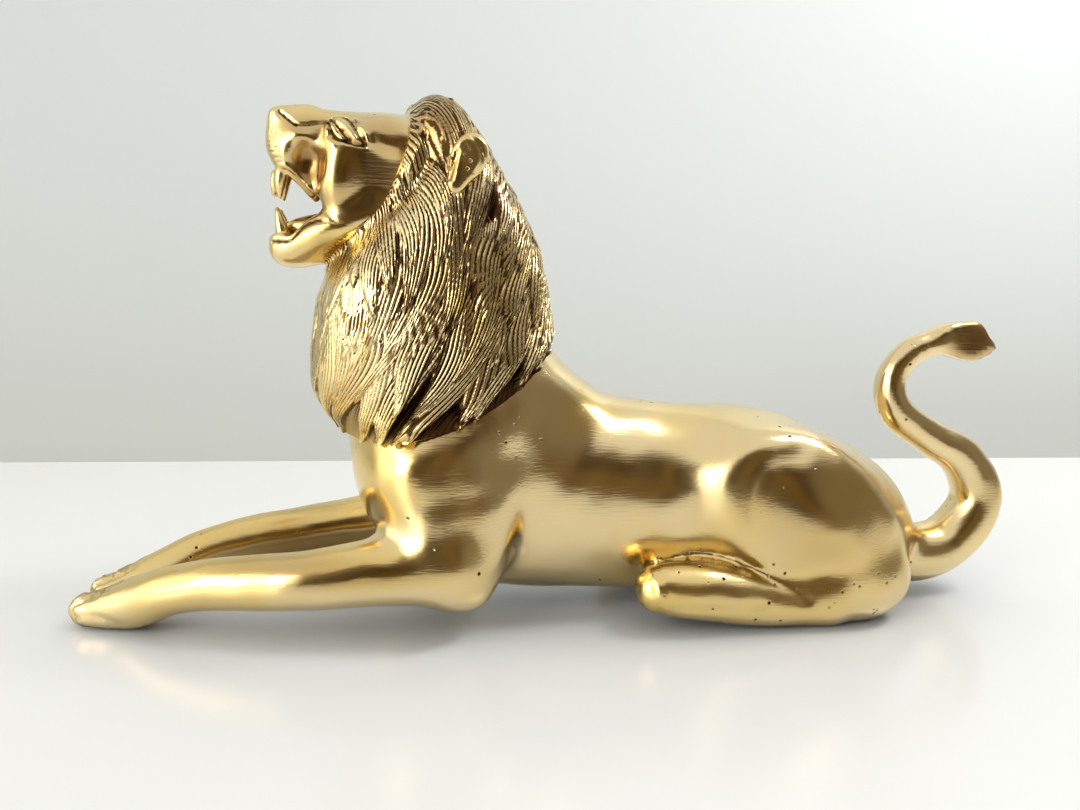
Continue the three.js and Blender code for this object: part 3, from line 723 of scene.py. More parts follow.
def skin(field):
    """Vertices and four-sided faces of the surface where the field is zero."""
    places = lattice()
    values = sample(field, places)
    inside = values < 0
    shape = np.array(values.shape) - 1
    pattern = np.zeros(shape, np.uint8)
    for n, corner in enumerate(CORNERS):
        pattern |= inside[at_corner(corner)].astype(np.uint8) << n
    mixed = np.argwhere((pattern > 0) & (pattern < 255))
    table = patch_table()
    patterns = pattern[tuple(mixed.T)]
    patches = table[patterns]
    first = np.concatenate([[0], np.cumsum(patches.max(axis=1) + 1)])
    total = first[-1]
    sums = np.zeros((total, 3))
    counts = np.zeros(total)
    corner_of = [tuple((mixed + corner).T) for corner in CORNERS]
    for e, (m, n) in enumerate(EDGES):
        hit = patches[:, e] >= 0
        at_m = tuple(a[hit] for a in corner_of[m])
        at_n = tuple(a[hit] for a in corner_of[n])
        t = values[at_m] / (values[at_m] - values[at_n])
        ids = first[:-1][hit] + patches[hit, e]
        counts += np.bincount(ids, minlength=total)
        for axis in range(3):
            crossing = places[axis][at_m] * (1 - t) + places[axis][at_n] * t
            sums[:, axis] += np.bincount(ids, crossing, minlength=total)
    points = settle(field, sums / counts[:, None])
    number = np.full(shape, -1)
    number[tuple(mixed.T)] = np.arange(len(mixed))
    quads = []
    for axis in range(3):
        u, w = (axis + 1) % 3, (axis + 2) % 3
        ahead = [slice(None)] * 3
        behind = [slice(None)] * 3
        behind[axis], ahead[axis] = slice(None, -1), slice(1, None)
        crossing = inside[tuple(behind)] != inside[tuple(ahead)]
        at = np.argwhere(crossing)
        at = at[(at[:, u] > 0) & (at[:, w] > 0) & (at[:, u] < shape[u]) & (at[:, w] < shape[w])]
        ring = []
        for a, b in ((0, 0), (1, 0), (1, 1), (0, 1)):
            cell = at.copy()
            cell[:, u] -= a
            cell[:, w] -= b
            start = [0, 0, 0]
            start[u], start[w] = a, b
            cell_number = number[tuple(cell.T)]
            ring.append(first[cell_number] + patches[cell_number, edge_from(start, axis)])
        ring = np.stack(ring, axis=1)
        flip = ~inside[tuple(at.T)]
        ring[flip] = ring[flip][:, ::-1]
        quads.append(ring)
    return points, np.concatenate(quads)


# Mane chart: a ring direction (0 at the nape, pi at the throat) and a fall from face to lower edge.
RING_TOP = Vector((-96.0, 0.0, 184.0))
RING_BOTTOM = Vector((-61.0, 0.0, 103.5))
RING_TOP_LEAN = 61.4
RING_BOTTOM_LEAN = 23.0
TOP_SAG = 12.0
BOTTOM_SAG = 15.0
SAG_POWER = 1.3
RAY_START = 4.0
RAY_END = 78.0
RAY_STEPS = 38
RAY_HALVINGS = 12


def chart_rays(around, fall):
    """Where a chart point's ray starts, and its direction."""
    lean = np.radians(RING_TOP_LEAN + (RING_BOTTOM_LEAN - RING_TOP_LEAN) * fall)
    start = np.array(RING_TOP)[:, None] + (np.array(RING_BOTTOM) - np.array(RING_TOP))[:, None] * fall
    zero = np.zeros_like(fall)
    outward = np.stack([np.cos(lean), zero, np.sin(lean)])
    onward = np.stack([np.sin(lean), zero, -np.cos(lean)])
    sag = (TOP_SAG + (BOTTOM_SAG - TOP_SAG) * fall) * np.abs(np.sin(around)) ** SAG_POWER
    across = np.stack([zero, np.sin(around), zero])
    return start + onward * sag, outward * np.cos(around) + across


def cast_to_body(start, along):
    """Distance along each ray from inside the neck to the body's surface."""
    low = np.full(start.shape[1], RAY_START)
    high = np.full(start.shape[1], RAY_END)
    found = np.zeros(start.shape[1], bool)
    for distance in np.linspace(RAY_START, RAY_END, RAY_STEPS):
        outside = mane_bed(*(start + along * distance)) > 0
        high = np.where(outside & ~found, distance, high)
        found |= outside
        low = np.where(found, low, distance)
    for _ in range(RAY_HALVINGS):
        middle = (low + high) / 2
        outside = mane_bed(*(start + along * middle)) > 0
        high = np.where(outside, middle, high)
        low = np.where(outside, low, middle)
    return (low + high) / 2


# Mane flow: strands start on the face line or on the nape and sweep down and forward.
FACE_COLUMNS = 200
NAPE_COLUMNS = 150
ROWS = 68
NAPE_SHARE = 0.5
NAPE_END = 0.94
tip_around = profile((0.0, 2.2), (0.4, 2.06), (0.7, 1.3), (0.9, 0.62), (1.0, 0.0))
TIP_ROW_STEP = 18.0
TIP_ROWS = 11
LOCK_GAP = -1.9
LOCK_SPACING = 0.72
ROOT_RISE = 1.6
ROOT_LENGTH = (14.0, 36.0)
TIP_OVERHANG = 1.5
LOCK_POINT = 1.02
LOCK_TAPER = 0.5
TAPER_POWER = 0.8
TIP_LIFT = 0.8
TIP_LIFT_POWER = 1.2
DOME_LIFT = 0.6
DOME_POWER = 2.2
LOCK_SINK = 0.6
LENGTH_SCATTER = (0.8, 1.3)
PLACE_SCATTER = 0.3
TIP_SCATTER = 6.0
SWING = (1.6, 4.6)
SWING_PACE = 4.2
LIFT_SCATTER = 0.5
FULL_TURN = 6.28
GAP_FROM = 0.72
FLOW_WAVE = 0.075
FLOW_PACE = (7.0, 8.0)
FLOW_EASE = (0.45, 0.55)
LOW_EDGE = 0.45
DOME_CALM = 0.45
STRAND_WIDTH = 1.55
STRAND_ROUNDNESS = 0.8
STRAND_MIDDLE = 0.6
FACE_EDGE = 0.4
THROAT_FULLNESS = 2.4
THINNEST = 0.5
FRONT_CALM = 0.3
FRONT_FROM = 2.35
DOME_AROUND = (0.55, 1.0)
DOME_FALL = (0.18, 0.3)
FACE_EDGE_REACH = 6.0
LOW_EDGE_REACH = 12.0
THROAT_FROM = 2.2
THROAT_FALL = 0.1
SEAM_AT_NAPE = 0.25
SEAM_AT_THROAT = 0.2
TOP_HUB = (-89.0, 0.0, 180.0)
LOW_HUB = (-56.0, 0.0, 96.0)


def flow(s, t):
    """Chart place of a strand label s, from throat to nape, at a share t of its fall."""
    share = np.clip(s / NAPE_SHARE, 0.0, 1.0)
    beyond = np.clip((s - NAPE_SHARE) / (1.0 - NAPE_SHARE), 0.0, 1.0)
    around_start = math.pi * (1.0 - share)
    fall_start = NAPE_END * beyond
    from_face = math.pi + (tip_around(0.0) - math.pi) * share
    around_end = np.where(s < NAPE_SHARE, from_face, tip_around(beyond))
    ease = FLOW_EASE[0] * t + FLOW_EASE[1] * t * t * (3.0 - 2.0 * t)
    around = around_start + (around_end - around_start) * ease
    wave = FLOW_WAVE * np.sin(FLOW_PACE[0] * t + FLOW_PACE[1] * s)
    around = around + wave * np.sin(around) * 4.0 * t * (1.0 - t)
    return around, fall_start + (1.0 - fall_start) * t


def carve_locks(s, reach, spread, settings, seed):
    """Heights, strand phases and gap depths of the locks; reach is the length left to the lower edge."""
    rng = np.random.default_rng(seed)
    rise = settings.lock_rise / MM
    lock_width = settings.lock_width / MM
    rooted = 1.0 - smoothstep(reach[:, :1] - reach, *ROOT_LENGTH)
    height = LOCK_GAP + ROOT_RISE * rooted
    phase = s * spread.mean() / STRAND_WIDTH
    gap = 1.0 - rooted
    labels = s[:, 0]
    for row in range(TIP_ROWS):
        tip_reach = row * TIP_ROW_STEP - TIP_OVERHANG
        pace = np.array([np.interp(-tip_reach, -reach[n], spread[n], left=0.0) for n in range(len(labels))])
        run = np.concatenate([[0.0], np.cumsum((pace[1:] + pace[:-1]) / 2 * np.diff(labels))])
        count = max(int(run[-1] / (LOCK_SPACING * lock_width)), 1)
        for n in range(-1, count + 1):
            share = (n + 0.5 + 0.5 * (row % 2) + rng.uniform(-PLACE_SCATTER, PLACE_SCATTER)) / count
            middle = np.interp(share * run[-1], run, labels)
            tip = tip_reach + rng.uniform(-TIP_SCATTER, TIP_SCATTER) * (row > 0)
            length = settings.lock_length / MM * rng.uniform(*LENGTH_SCATTER)
            swing, turn = rng.uniform(*SWING), rng.uniform(0.0, FULL_TURN)
            lift = rng.uniform(-LIFT_SCATTER, LIFT_SCATTER)
            fall = 1.0 - (reach - tip) / length
            narrow = np.clip((LOCK_POINT - fall) / LOCK_TAPER, 0.0, 1.0) ** TAPER_POWER
            width = 0.5 * lock_width * narrow * (0.55 + 0.45 * smoothstep(fall, 0.0, 0.35))
            offset = (s - middle) * spread - swing * np.sin(SWING_PACE * fall + turn)
            across = offset / np.maximum(width, 1e-3)
            dome = 1.0 - np.abs(across) ** DOME_POWER
            tip_lift = TIP_LIFT * np.clip(fall, 0.0, 1.0) ** TIP_LIFT_POWER
            form = lift + rise * (tip_lift + DOME_LIFT * dome) - LOCK_SINK
            wins = (fall > 0) & (fall < 1) & (np.abs(across) < 1) & (form > height)
            height = np.where(wins, form, height)
            strands = 0.5 * lock_width / STRAND_WIDTH
            phase = np.where(wins, across * strands * (0.35 + 0.65 * narrow), phase)
            side_gap = np.clip((np.abs(across) - GAP_FROM) / (1.0 - GAP_FROM), 0.0, 1.0)
            gap = np.where(wins, side_gap, gap)
    return height, phase, gap


def mane(settings):
    """Closed mesh of the mane: vertices, faces and how deep each vertex lies in a groove."""
    labels = np.concatenate([
        np.linspace(0.0, NAPE_SHARE, FACE_COLUMNS + 1), np.linspace(NAPE_SHARE, 1.0, NAPE_COLUMNS + 1)[1:]])
    t = np.zeros((len(labels), 1)) + np.linspace(0.0, 1.0, ROWS + 1)[None, :]
    s = labels[:, None] + np.zeros((1, ROWS + 1))
    around, fall = flow(s, t)
    start, along = chart_rays(around.ravel(), fall.ravel())
    radius = cast_to_body(start, along)
    base = (start + along * radius).reshape(3, *s.shape)
    steps = np.linalg.norm(np.diff(base, axis=2), axis=0)
    length = np.concatenate([np.zeros((len(labels), 1)), np.cumsum(steps, axis=1)], axis=1)
    reach = length[:, -1:] - length
    onward = np.gradient(base, axis=2)
    onward /= np.maximum(np.linalg.norm(onward, axis=0), 1e-6)
    sideways = np.gradient(base, labels, axis=1)
    sideways -= onward * (sideways * onward).sum(axis=0)
    spread = np.maximum(np.linalg.norm(sideways, axis=0), 1.0)
    front = FRONT_CALM + (1.0 - FRONT_CALM) * smoothstep(around, math.pi, FRONT_FROM)
    dome = (1 - smoothstep(around, *DOME_AROUND)) * (1 - smoothstep(fall, *DOME_FALL))
    from_face = np.where(s < NAPE_SHARE, length, FAR)
    edge = FACE_EDGE + (1.0 - FACE_EDGE) * smoothstep(from_face, 0.0, FACE_EDGE_REACH)
    edge = edge * (LOW_EDGE + (1.0 - LOW_EDGE) * smoothstep(reach, 0.0, LOW_EDGE_REACH))
    throat = THROAT_FULLNESS * smoothstep(around, THROAT_FROM, math.pi) * smoothstep(fall, 0.0, THROAT_FALL)
    seam = smoothstep(around, 0.0, SEAM_AT_NAPE) * smoothstep(math.pi - around, 0.0, SEAM_AT_THROAT)

    def relief(seed):
        height, phase, gap = carve_locks(s, reach, spread, settings, seed)
        strand = np.abs(np.cos(math.pi * phase)) ** STRAND_ROUNDNESS
        surface = height + (strand - STRAND_MIDDLE) * settings.strand_depth / MM
        return np.stack([surface, np.maximum(1.0 - strand, gap)])

    shared = relief(settings.seed)
    grid = np.arange(s.size).reshape(s.shape)
    joined = (around < 1e-6) | (around > math.pi - 1e-6)
    points, faces, grooves = [], [], []
    for side in (1, -1):
        surface, groove = shared * (1 - seam) + relief(settings.seed + side) * seam
        thickness = settings.mane_depth / MM * edge + surface * front * edge * (1.0 - DOME_CALM * dome)
        thickness = np.maximum(thickness + throat, THINNEST)
        place = start + along * (radius + thickness.ravel())
        points.append((place * np.array([1.0, side, 1.0])[:, None]).T)
        grooves.append(groove.ravel())
        numbers = grid if side > 0 else np.where(joined, grid, grid + s.size)
        quads = np.stack([numbers[:-1, :-1], numbers[1:, :-1], numbers[1:, 1:], numbers[:-1, 1:]], axis=-1)
        top_edge = numbers[:FACE_COLUMNS + 1, 0]
        low_edge = numbers[:, -1]
        rims = [fan(top_edge, 2 * s.size), fan(low_edge, 2 * s.size + 1)[:, ::-1]]
        rings = np.concatenate([quads.reshape(-1, 4), *rims])
        faces.append(rings if side > 0 else rings[:, ::-1])
    points.append(np.array([TOP_HUB, LOW_HUB]))
    grooves.append(np.zeros(2))
    return np.concatenate(points), np.concatenate(faces), np.concatenate(grooves)


def fan(edge, hub):
    """Triangles from a row of vertices to one hub; each repeats its hub as a fourth corner."""
    hubs = np.full(len(edge) - 1, hub)
    return np.stack([edge[1:], edge[:-1], hubs, hubs], axis=1)


# Meshes from the arrays above.
def store(mesh, name, values):
    mesh.attributes.new(name, "FLOAT", "POINT").data.foreach_set("value", values.astype(np.float32))


def mesh_object(name, points, faces, grooves):
    """A Blender object in metres from points in millimetres; a face may repeat its last corner."""
    mesh = bpy.data.meshes.new(name)
    rings = [tuple(dict.fromkeys(int(n) for n in face)) for face in faces]
    mesh.from_pydata((points * MM).tolist(), [], rings)
    mesh.update()
    store(mesh, "groove", grooves)
    item = bpy.data.objects.new(name, mesh)
    bpy.context.scene.collection.objects.link(item)
    return item


def run_modifier(item, kind, **settings):
    modifier = item.modifiers.new(kind.title(), kind)
    for key, value in settings.items():
        setattr(modifier, key, value)
    bpy.context.view_layer.update()
    shape = bpy.data.meshes.new_from_object(item.evaluated_get(bpy.context.evaluated_depsgraph_get()))
    item.modifiers.clear()
    old, item.data = item.data, shape
    bpy.data.meshes.remove(old)


# How dark the patina is in a cut, and the depth past which it gets no darker.
TOE_PATINA = (0.25, 2.0)
FACE_PATINA = (0.9, 1.2)


def cut_depth(points):
    """How dark the patina is at points of the bare casting: it stays in chased lines and hollows."""
    x, y, z = points.T
    side = np.abs(y)
    grooves = TOE_PATINA[0] * np.clip(toe_carving(x, side, z), 0.0, TOE_PATINA[1])
    near = (x < HEAD_BACK) & (z > HEAD_FLOOR)
    at = (x[near], side[near], z[near])
    grooves[near] += FACE_PATINA[0] * np.clip(face_carving(*at), 0.0, FACE_PATINA[1])
    return grooves


# Brown spots, partly tarnish where polishing didn't reach and partly painted shade in hollows, under the
# mane's edge and between the forelegs, and painted dark reflections on the flank and haunch: centre, reach,
# distances from the middle, and strength.
MIDDLE = -5.0
WHOLE = 80.0
FILM_AND_SHADE_SPOTS = (
    ((-119.0, 188.5), (6.5, 9.5), 8.0, WHOLE, 0.9),
    ((-95.5, 186.0), (11.0, 12.0), 14.0, WHOLE, 0.55),
    ((-118.0, 172.0), (9.0, 10.0), MIDDLE, WHOLE, 0.75),
    ((-109.0, 157.0), (7.0, 4.0), 4.0, WHOLE, 0.4),
    ((187.0, 123.5), (13.0, 9.0), 4.0, WHOLE, 0.85),
    ((-62.0, 86.0), (14.0, 5.0), 20.0, WHOLE, 0.5),
    ((-61.0, 187.0), (2.6, 7.0), 30.0, WHOLE, 0.7),
    ((-67.0, 206.0), (10.0, 9.0), 6.0, WHOLE, 0.6),
    ((-100.0, 177.0), (10.0, 10.0), 12.0, WHOLE, 0.4),
    ((-112.0, 16.0), (52.0, 15.0), MIDDLE, 32.0, 0.85),
    ((-90.0, 199.0), (17.0, 9.0), MIDDLE, WHOLE, 0.4),
    ((-116.0, 202.0), (13.0, 6.0), MIDDLE, WHOLE, 0.38),
    ((-112.0, 32.0), (44.0, 6.0), 30.0, WHOLE, 0.35),
    ((100.0, 52.0), (34.0, 22.0), 30.0, WHOLE, 0.3),
)

# Places that the maker's brush left yellower, given in the same way.
WORN_SPOTS = (
    ((-88.0, 72.0), (20.0, 24.0), MIDDLE, WHOLE, 0.75),
    ((-2.0, 92.0), (16.0, 10.0), 14.0, WHOLE, 0.6),
    ((-96.0, 34.0), (34.0, 9.0), 20.0, WHOLE, 0.7),
    ((-150.0, 30.0), (40.0, 10.0), MIDDLE, WHOLE, 0.45),
    ((-110.0, 160.0), (16.0, 9.0), MIDDLE, WHOLE, 0.7),
    ((-108.0, 186.0), (6.0, 16.0), 8.0, WHOLE, 0.5),
    ((22.0, 16.0), (18.0, 9.0), 20.0, WHOLE, 0.7),
    ((60.0, 12.0), (34.0, 5.0), 30.0, WHOLE, 0.3),
    ((104.0, 62.0), (18.0, 10.0), 30.0, WHOLE, 0.4),
    ((150.0, 40.0), (9.0, 20.0), MIDDLE, WHOLE, 0.5),
)


# How softly a spot begins and ends across the lion.
INNER_BLUR = 1.5
OUTER_BLUR = 3.0


def spots(places, x, side, z):
    """How strongly a list of soft oval spots, drawn in side view, covers each point."""
    cover = np.zeros_like(x)
    for center, reach, inner, outer, strength in places:
        away = ((x - center[0]) / reach[0]) ** 2 + ((z - center[1]) / reach[1]) ** 2
        past_inner = smoothstep(side, inner - INNER_BLUR, inner + INNER_BLUR)
        past_outer = smoothstep(side, outer - OUTER_BLUR, outer + OUTER_BLUR)
        between = past_inner * (1.0 - past_outer)
        cover = np.maximum(cover, strength * np.exp(-away * away) * between)
    return cover


# Where tarnish keeps in the cuts: least on the skin, more on the face and most in the mane.
SKIN_TARNISH = 0.3
MANE_TARNISH = 0.7
FACE_TARNISH = 0.5
MANE_LEVELS = (78.0, 88.0)
MANE_FRONT = (-104.0, -66.0)
FACE_LEVELS = (140.0, 150.0)
FACE_BACK = -84.0


def mark_wear_and_shade(mesh):
    """Stores where the metal is tarnished, where brown spots of tarnish and painted shade lie, and where it
    is worn, for the brass to read.
    """
    places = np.zeros(len(mesh.vertices) * 3)
    mesh.vertices.foreach_get("co", places)
    x, y, z = places.reshape(-1, 3).T / MM
    hairy = smoothstep(z, *MANE_LEVELS) * smoothstep(x, *MANE_FRONT) * (x < 0)
    face = smoothstep(z, *FACE_LEVELS) * (x < FACE_BACK)
    tarnish = SKIN_TARNISH + MANE_TARNISH * hairy + FACE_TARNISH * face
    store(mesh, "tarnish", np.clip(tarnish, 0.0, 1.0))
    # Brown spots of tarnish, of painted shade in hollows and under forms, and of painted dark reflections.
    store(mesh, "film_and_shade", spots(FILM_AND_SHADE_SPOTS, x, np.abs(y), z))
    store(mesh, "worn", spots(WORN_SPOTS, x, np.abs(y), z))


# Materials.
def new_material(name):
    material = bpy.data.materials.new(name)
    material.use_nodes = True
    nodes, links = material.node_tree.nodes, material.node_tree.links
    return material, nodes, links, nodes["Principled BSDF"]


def add_node(nodes, links, kind, inputs=None, **settings):
    node = nodes.new(kind)
    for key, value in settings.items():
        setattr(node, key, value)
    for key, value in (inputs or {}).items():
        if isinstance(value, bpy.types.NodeSocket):
            links.new(value, node.inputs[key])
        else:
            node.inputs[key].default_value = value
    return node


def map_range(nodes, links, value, from_range, to_range=(0.0, 1.0)):
    node = add_node(nodes, links, "ShaderNodeMapRange", {
        "Value": value, "From Min": from_range[0], "From Max": from_range[1],
        "To Min": to_range[0], "To Max": to_range[1]}, interpolation_type="SMOOTHSTEP")
    return node.outputs["Result"]


def math_node(nodes, links, operation, a, b):
    return add_node(nodes, links, "ShaderNodeMath", {0: a, 1: b}, operation=operation).outputs[0]


def noise(nodes, links, place, scale, detail, **more):
    inputs = {"Vector": place, "Scale": scale, "Detail": detail, **more}
    return add_node(nodes, links, "ShaderNodeTexNoise", inputs).outputs["Fac"]


def attribute(nodes, links, name):
    return add_node(nodes, links, "ShaderNodeAttribute", attribute_name=name).outputs["Fac"]


def mix_color(nodes, links, factor, a, b):
    node = add_node(nodes, links, "ShaderNodeMix", data_type="RGBA")
    for socket, value in ((node.inputs[0], factor), (node.inputs[6], a), (node.inputs[7], b)):
        if isinstance(value, bpy.types.NodeSocket):
            links.new(value, socket)
        else:
            socket.default_value = value
    return node.outputs[2]


# Sizes of the brass's patterns, as cycles per metre.
CLOUD_SCALE = 14.0
GRAIN_SCALE = 900.0
SWEEP_SCALE = 9.0
PIT_SCALE = 170.0
PIT_ZONE_SCALE = 22.0
BRUSH_SCALE = (55.0, 1100.0, 1100.0)

# Brush marks: the turns of their two directions in radians, and their relief.
BRUSH_TURNS = ((0.0, 0.45, 0.2), (0.2, -0.9, 0.1))
BUMP_STRENGTH = 0.38
BUMP_DISTANCE = 0.0004


def polished_brass(finish):
    """Brass with yellower brushed patches, brown spots of tarnish and painted shade, dark patina in the
    grooves and small casting pits.
    """
    material, nodes, links, shader = new_material("polished_brass")
    place = add_node(nodes, links, "ShaderNodeTexCoord").outputs["Object"]
    cloudy = noise(nodes, links, place, CLOUD_SCALE, 5.0, Roughness=0.6)
    grain = noise(nodes, links, place, GRAIN_SCALE, 3.0, Roughness=0.6)
    along, across = (noise(nodes, links, add_node(nodes, links, "ShaderNodeMapping", {
        "Vector": place, "Rotation": turn, "Scale": BRUSH_SCALE}).outputs["Vector"], 1.0, 2.0)
        for turn in BRUSH_TURNS)
    sweep = map_range(nodes, links, noise(nodes, links, place, SWEEP_SCALE, 1.0), (0.42, 0.58))
    brushed = add_node(nodes, links, "ShaderNodeMix", {0: sweep, 2: along, 3: across}).outputs[0]
    groove = attribute(nodes, links, "groove")
    tarnish = attribute(nodes, links, "tarnish")
    broken = math_node(nodes, links, "ADD", groove, math_node(
        nodes, links, "MULTIPLY", math_node(nodes, links, "SUBTRACT", grain, 0.5), 0.8))
    film_and_shade = attribute(nodes, links, "film_and_shade")
    kept = math_node(nodes, links, "MULTIPLY", math_node(nodes, links, "SUBTRACT", tarnish, 0.4), 0.5)
    deep = map_range(nodes, links, math_node(nodes, links, "ADD", broken, kept), (0.35, 0.8))
    dark = math_node(nodes, links, "MULTIPLY", deep, map_range(nodes, links, tarnish, (0.0, 0.6)))
    pits = add_node(nodes, links, "ShaderNodeTexVoronoi", {
        "Vector": place, "Scale": PIT_SCALE}).outputs["Distance"]
    pit_zone = map_range(nodes, links, noise(nodes, links, place, PIT_ZONE_SCALE, 2.0), (0.54, 0.62))
    pit = math_node(nodes, links, "MULTIPLY", map_range(nodes, links, pits, (0.16, 0.08)), pit_zone)
    yellow = map_range(nodes, links, cloudy, (0.42, 0.66), (0.0, 0.55))
    metal = mix_color(nodes, links, yellow, tuple(finish.brass), tuple(finish.worn_brass))
    worn = attribute(nodes, links, "worn")
    metal = mix_color(nodes, links, worn, metal, tuple(finish.worn_brass))
    # Brown spots: partly tarnish, partly painted shade in hollows and painted dark reflections.
    metal = mix_color(nodes, links, film_and_shade, metal, tuple(finish.film_and_shade))
    stain = math_node(nodes, links, "MAXIMUM", dark, pit)
    color = mix_color(nodes, links, stain, metal, tuple(finish.patina))
    links.new(color, shader.inputs["Base Color"])
    rough = map_range(nodes, links, cloudy, (0.35, 0.7), (finish.roughness, finish.roughness + 0.1))
    links.new(math_node(nodes, links, "ADD", rough, math_node(
        nodes, links, "MULTIPLY", stain, 0.3)), shader.inputs["Roughness"])
    shader.inputs["Metallic"].default_value = 1.0
    relief = math_node(nodes, links, "ADD", math_node(nodes, links, "MULTIPLY", brushed, 0.35), math_node(
        nodes, links, "MULTIPLY", pit, -2.0))
    bumped = add_node(nodes, links, "ShaderNodeBump", {
        "Height": relief, "Strength": BUMP_STRENGTH, "Distance": BUMP_DISTANCE}).outputs["Normal"]
    links.new(bumped, shader.inputs["Normal"])
    return material


def plain_material(name, color, roughness, specular):
    material, _, _, shader = new_material(name)
    shader.inputs["Base Color"].default_value = tuple(color)
    shader.inputs["Roughness"].default_value = roughness
    shader.inputs["Specular IOR Level"].default_value = specular
    return material


# Edges that turn by more degrees than this stay crisp.
SHARP_ANGLE = 62.0


# Operators.
class LION_OT_cast(Operator):
    """Cast the lion: body, head, mane, legs and tail in one piece."""

    bl_idname = "lion.cast"
    bl_label = "Cast the Lion"

    def execute(self, context):
        settings = context.scene.lion_carving
        points, faces = skin(bare_lion)
        lion = mesh_object("lion_casting", points, faces, cut_depth(points))
        hair = mesh_object("mane_tool", *mane(settings))
        before = len(lion.data.vertices)
        run_modifier(lion, "BOOLEAN", operation="UNION", object=hair, solver="MANIFOLD")
        bpy.data.objects.remove(hair)
        mesh = lion.data
        if len(mesh.vertices) <= before:
            raise RuntimeError("the mane did not join the body")
        mesh.materials.clear()
        mesh.materials.append(polished_brass(context.scene.lion_finish))
        mesh.shade_smooth()
        mesh.set_sharp_from_angle(angle=math.radians(SHARP_ANGLE))
        mark_wear_and_shade(mesh)
        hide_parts("lion")
        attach(lion, "root")
        return {"FINISHED"}


# Camera: place in metres, turns in degrees, and the photo's focal length and width in pixels.
CAMERA_PLACE = Vector((-0.0816, -0.367, 0.1428))
CAMERA_YAW = 9.6
CAMERA_PITCH = 7.893
CAMERA_ROLL = 1.7
FOCAL_PIXELS = 840.0
PHOTO_WIDTH = 1080.0
SENSOR_WIDTH = 36.0


def camera():
    yaw, pitch, roll = (math.radians(a) for a in (CAMERA_YAW, CAMERA_PITCH, CAMERA_ROLL))
    look = Vector((math.sin(yaw) * math.cos(pitch), math.cos(yaw) * math.cos(pitch), -math.sin(pitch)))
    right = Vector((math.cos(yaw), -math.sin(yaw), 0.0))
    up = right.cross(look)
    turned_right = right * math.cos(roll) + up * math.sin(roll)
    turned_up = up * math.cos(roll) - right * math.sin(roll)
    data = bpy.data.cameras.new("photo_camera")
    data.sensor_width = SENSOR_WIDTH
    data.lens = SENSOR_WIDTH * FOCAL_PIXELS / PHOTO_WIDTH
    data.clip_start = 0.01
    item = bpy.data.objects.new("photo_camera", data)
    axes = Matrix((turned_right, turned_up, -look)).transposed().to_4x4()
    item.matrix_world = Matrix.Translation(CAMERA_PLACE) @ axes
    bpy.context.scene.collection.objects.link(item)
    bpy.context.scene.camera = item


# Each light's place, the point that it faces, its width and height, and its share of the power.
SOFT_LIGHTS = {
    "window_left": ((-1.0, -0.8, 0.45), (-0.05, -0.05, 0.08), (0.5, 0.7), 0.5),
    "wall_wash": ((0.9, 0.0, 1.1), (0.45, 0.68, 0.3), (0.9, 0.25), 0.85),
}


def soft_light(name, place, target, size, power):
    data = bpy.data.lights.new(name, "AREA")
    data.shape = "RECTANGLE"
    data.size, data.size_y = size
    data.energy = power
    item = bpy.data.objects.new(name, data)
    aim = Vector(target) - Vector(place)
    item.matrix_world = Matrix.Translation(Vector(place)) @ aim.to_track_quat("-Z", "Y").to_matrix().to_4x4()
    bpy.context.scene.collection.objects.link(item)


# Stage, in metres.
FLOOR_FRONT = -0.62
FLOOR_BACK = 0.32
FLOOR_EDGE_RADIUS = 0.004
FLOOR_EDGE_DEPTH = 0.03
STAGE_HALF = 2.4
WALL_PLACE = 0.68
WALL_BOTTOM = -1.0
WALL_TOP = 1.3
BEND_STEPS = 10
FLOOR_ROUGHNESS = 0.22
FLOOR_SHEEN = 0.4
WALL_ROUGHNESS = 0.9
WALL_SHEEN = 0.1


def sheet(name, outline, material):
    """A wide sheet of the stage that follows an outline in side view."""
    mesh = bpy.data.meshes.new(name)
    places = [(side * STAGE_HALF, y, z) for y, z in outline for side in (-1, 1)]
    faces = [(2 * n, 2 * n + 1, 2 * n + 3, 2 * n + 2) for n in range(len(outline) - 1)]
    mesh.from_pydata(places, [], faces)
    mesh.materials.append(material)
    item = bpy.data.objects.new(name, mesh)
    bpy.context.scene.collection.objects.link(item)


def plain_stage(settings):
    """A pale floor with a rounded back edge, and a pale wall well behind it."""
    outline = [(FLOOR_FRONT, 0.0)]
    for n in range(BEND_STEPS + 1):
        angle = math.pi / 2 * n / BEND_STEPS
        y = FLOOR_BACK - FLOOR_EDGE_RADIUS * (1 - math.sin(angle))
        outline.append((y, FLOOR_EDGE_RADIUS * (math.cos(angle) - 1)))
    outline.append((FLOOR_BACK, -FLOOR_EDGE_DEPTH))
    sheet("floor", outline, plain_material("pale_floor", settings.floor, FLOOR_ROUGHNESS, FLOOR_SHEEN))
    wall = [(WALL_PLACE, WALL_BOTTOM), (WALL_PLACE, WALL_TOP)]
    sheet("wall", wall, plain_material("pale_wall", settings.backdrop, WALL_ROUGHNESS, WALL_SHEEN))


# Colours of the room that the brass reflects.
DARK_ROOM = (0.05, 0.028, 0.007, 1.0)
LIT_ROOM = (0.15, 0.094, 0.026, 1.0)
RIGHT_WALL = (0.24, 0.20, 0.14, 1.0)
LEFT_WINDOW = (2.2, 2.15, 1.9, 1.0)
FAR_WALL = (0.5, 0.5, 0.5, 1.0)
CEILING = (0.88, 0.87, 0.85, 1.0)
CLUTTER_SCALE = 3.0


